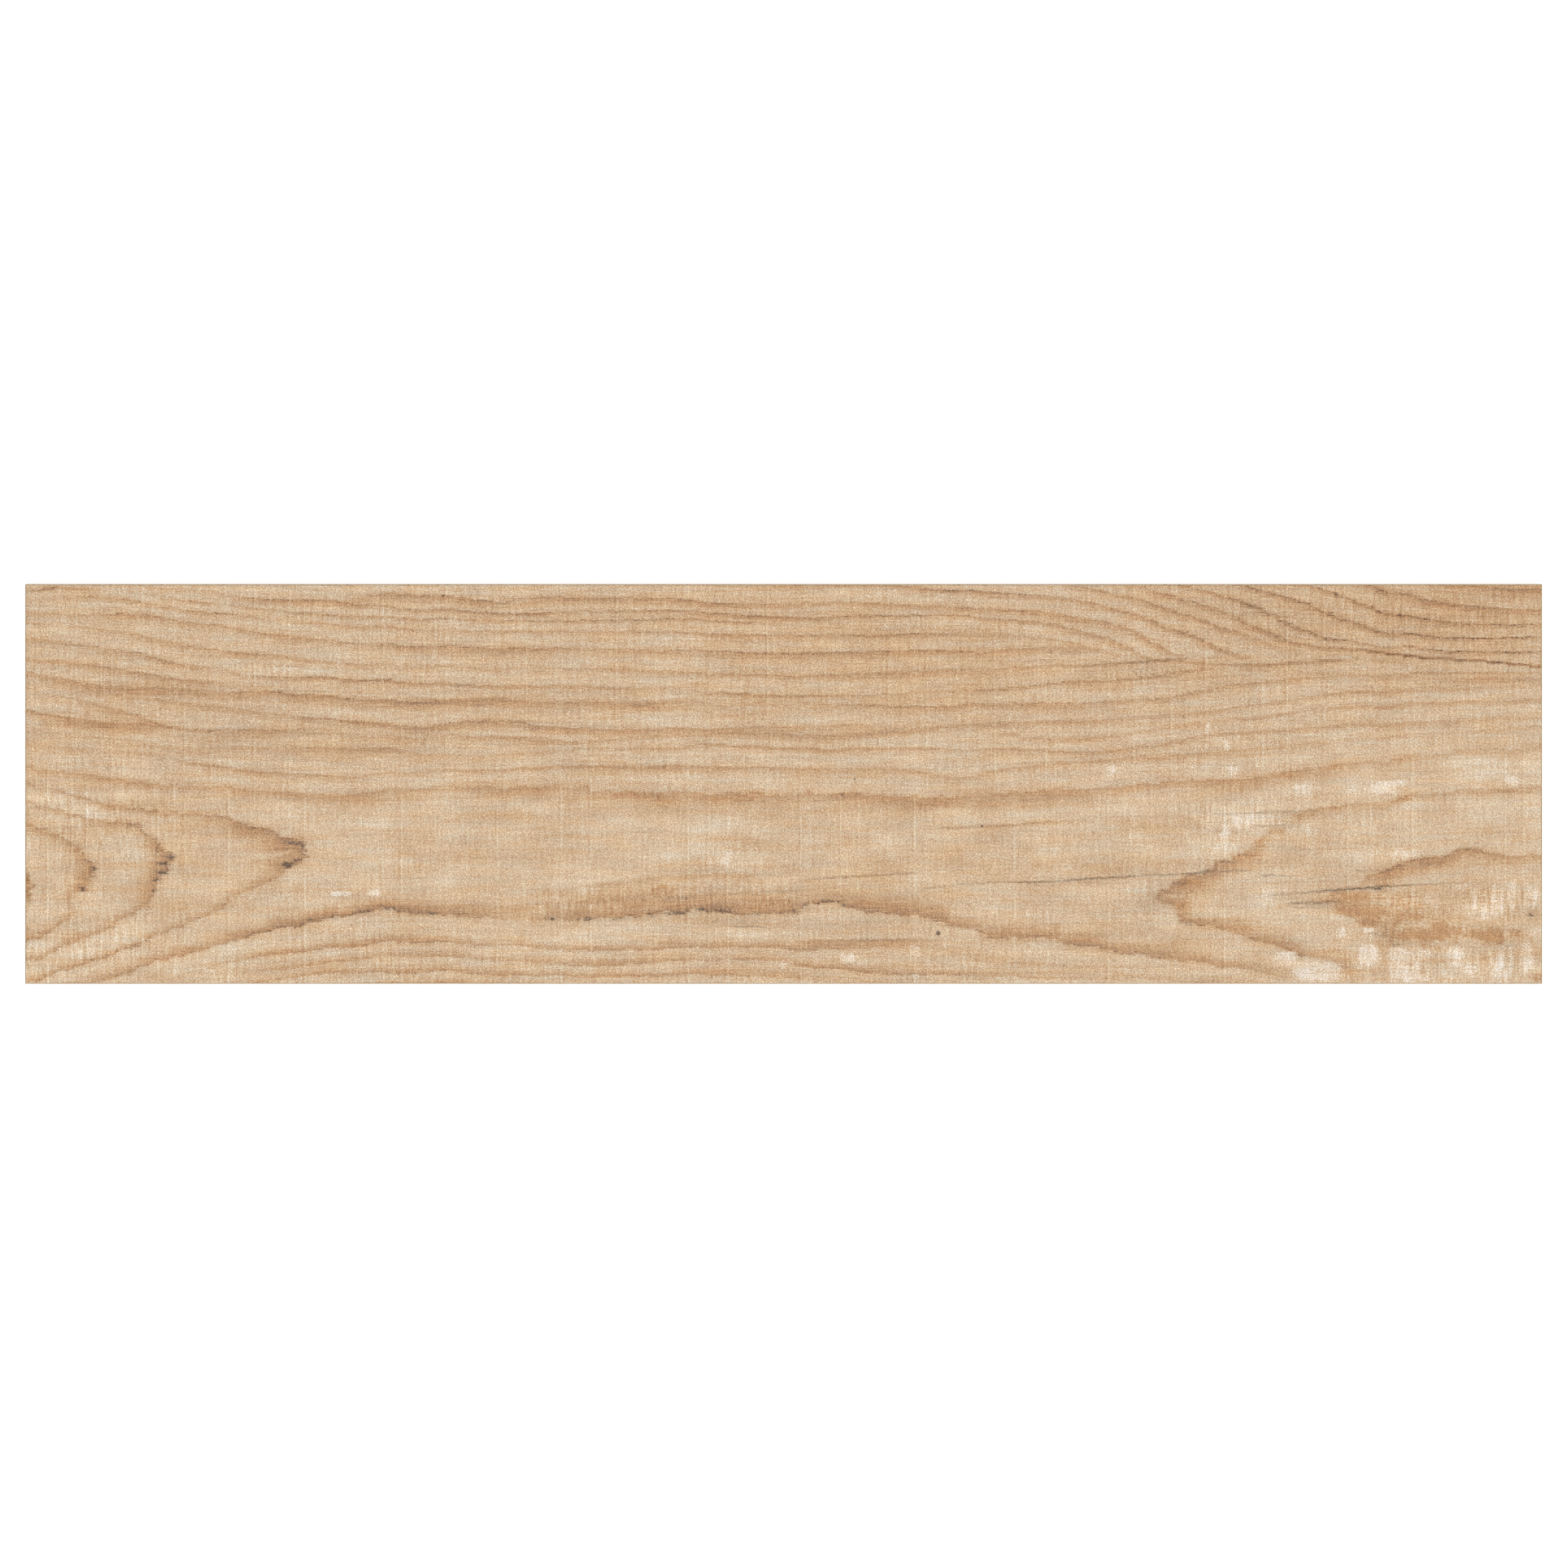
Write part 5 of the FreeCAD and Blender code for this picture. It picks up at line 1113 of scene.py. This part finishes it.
def pressed_back():
    """The unglazed back: body colour, kiln wash on the ribs."""
    p = Print("pressed_porcelain_back")
    grog = p.noise(p.x, p.y, 0.0007, 0.0007, 2.0)
    cloud = p.noise(p.x, p.y, 0.05, 0.05, 3.0)
    small = p.noise(p.x, p.y, 0.006, 0.006, 3.0)
    rollers = p.noise(p.x, p.y, 0.012, 0.30, 1.0)
    grit = p.noise(p.x, p.y, 0.0016, 0.0016).ramp(0.24, 0.32)
    level = grog * 26.0 + cloud * 26.0 + small * 14.0 + rollers * 8.0 + 158.0
    colour = p.palette(level, [(110, (146, 121, 96)), (140, (174, 150, 123)), (160, (190, 168, 141)), (180, (204, 185, 160)), (215, (222, 207, 186))])
    colour = p.mix(grit * 0.45, colour, (112, 92, 76))
    rib = p.z.ramp(0.00002, 0.0003, 1.0, 0.0)
    wash = rib * (cloud * 1.4 + small * 1.2 + rollers * 0.8 + 0.45).ramp(0.0, 0.7)
    colour = p.mix(wash * 0.8, colour, (232, 226, 216))
    p.bump(grog * 0.8 + small * 0.5 + wash * 0.3, 0.00012)
    return p.finish(colour, (grog * 0.3 + wash * 0.1 + 0.80).ramp(0.6, 1.0, 0.6, 1.0))


for make in (printed_face, ground_edge, pressed_back):
    mesh.materials.append(make())

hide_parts(NODE)
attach(plank, "root")

# ------------------------------------------------------------------ floor and light
bpy.ops.mesh.primitive_plane_add(size=60.0, location=(0, 0, 0))
floor = bpy.context.object
floor.name = "floor"
pale = bpy.data.materials.new("pale_floor")
pale.use_nodes = True
shader = pale.node_tree.nodes["Principled BSDF"]
shader.inputs["Base Color"].default_value = (0.93, 0.93, 0.93, 1)
shader.inputs["Roughness"].default_value = 0.9
shader.inputs["Specular IOR Level"].default_value = 0.1
shader.inputs["Emission Color"].default_value = (1, 1, 1, 1)
shader.inputs["Emission Strength"].default_value = 0.26
floor.data.materials.append(pale)

world = bpy.data.worlds.new("studio")
bpy.context.scene.world = world
world.use_nodes = True
world.node_tree.nodes["Background"].inputs["Color"].default_value = (1, 1, 1, 1)
world.node_tree.nodes["Background"].inputs["Strength"].default_value = 0.45


def sun(name, strength, angle, tilt, turn):
    data = bpy.data.lights.new(name, "SUN")
    data.energy, data.angle = strength, np.radians(angle)
    lamp = bpy.data.objects.new(name, data)
    lamp.rotation_euler = (np.radians(tilt), 0, np.radians(turn))
    bpy.context.scene.collection.objects.link(lamp)


sun("overhead_box", 1.25, 12, 0, 0)
sun("side_box", 0.75, 70, 42, 35)

scene = bpy.context.scene
scene.view_settings.view_transform = "Standard"
scene.view_settings.look = "None"
scene.view_settings.exposure = 0.0
scene.view_settings.gamma = 1.0

FRAME_WIDTH = 1932 * UNIT  # metres across the picture at the face
data = bpy.data.cameras.new("camera")
data.sensor_width = 36.0
data.lens = 130.0
camera = bpy.data.objects.new("camera", data)
camera.location = ((966 - (X0 + X1) / 2) * UNIT, ((Y0 + Y1) / 2 - 966) * UNIT, T + FRAME_WIDTH * data.lens / 36.0)
camera.rotation_euler = (0, 0, 0)
data.clip_start, data.clip_end = 0.05, 200
scene.collection.objects.link(camera)
scene.camera = camera
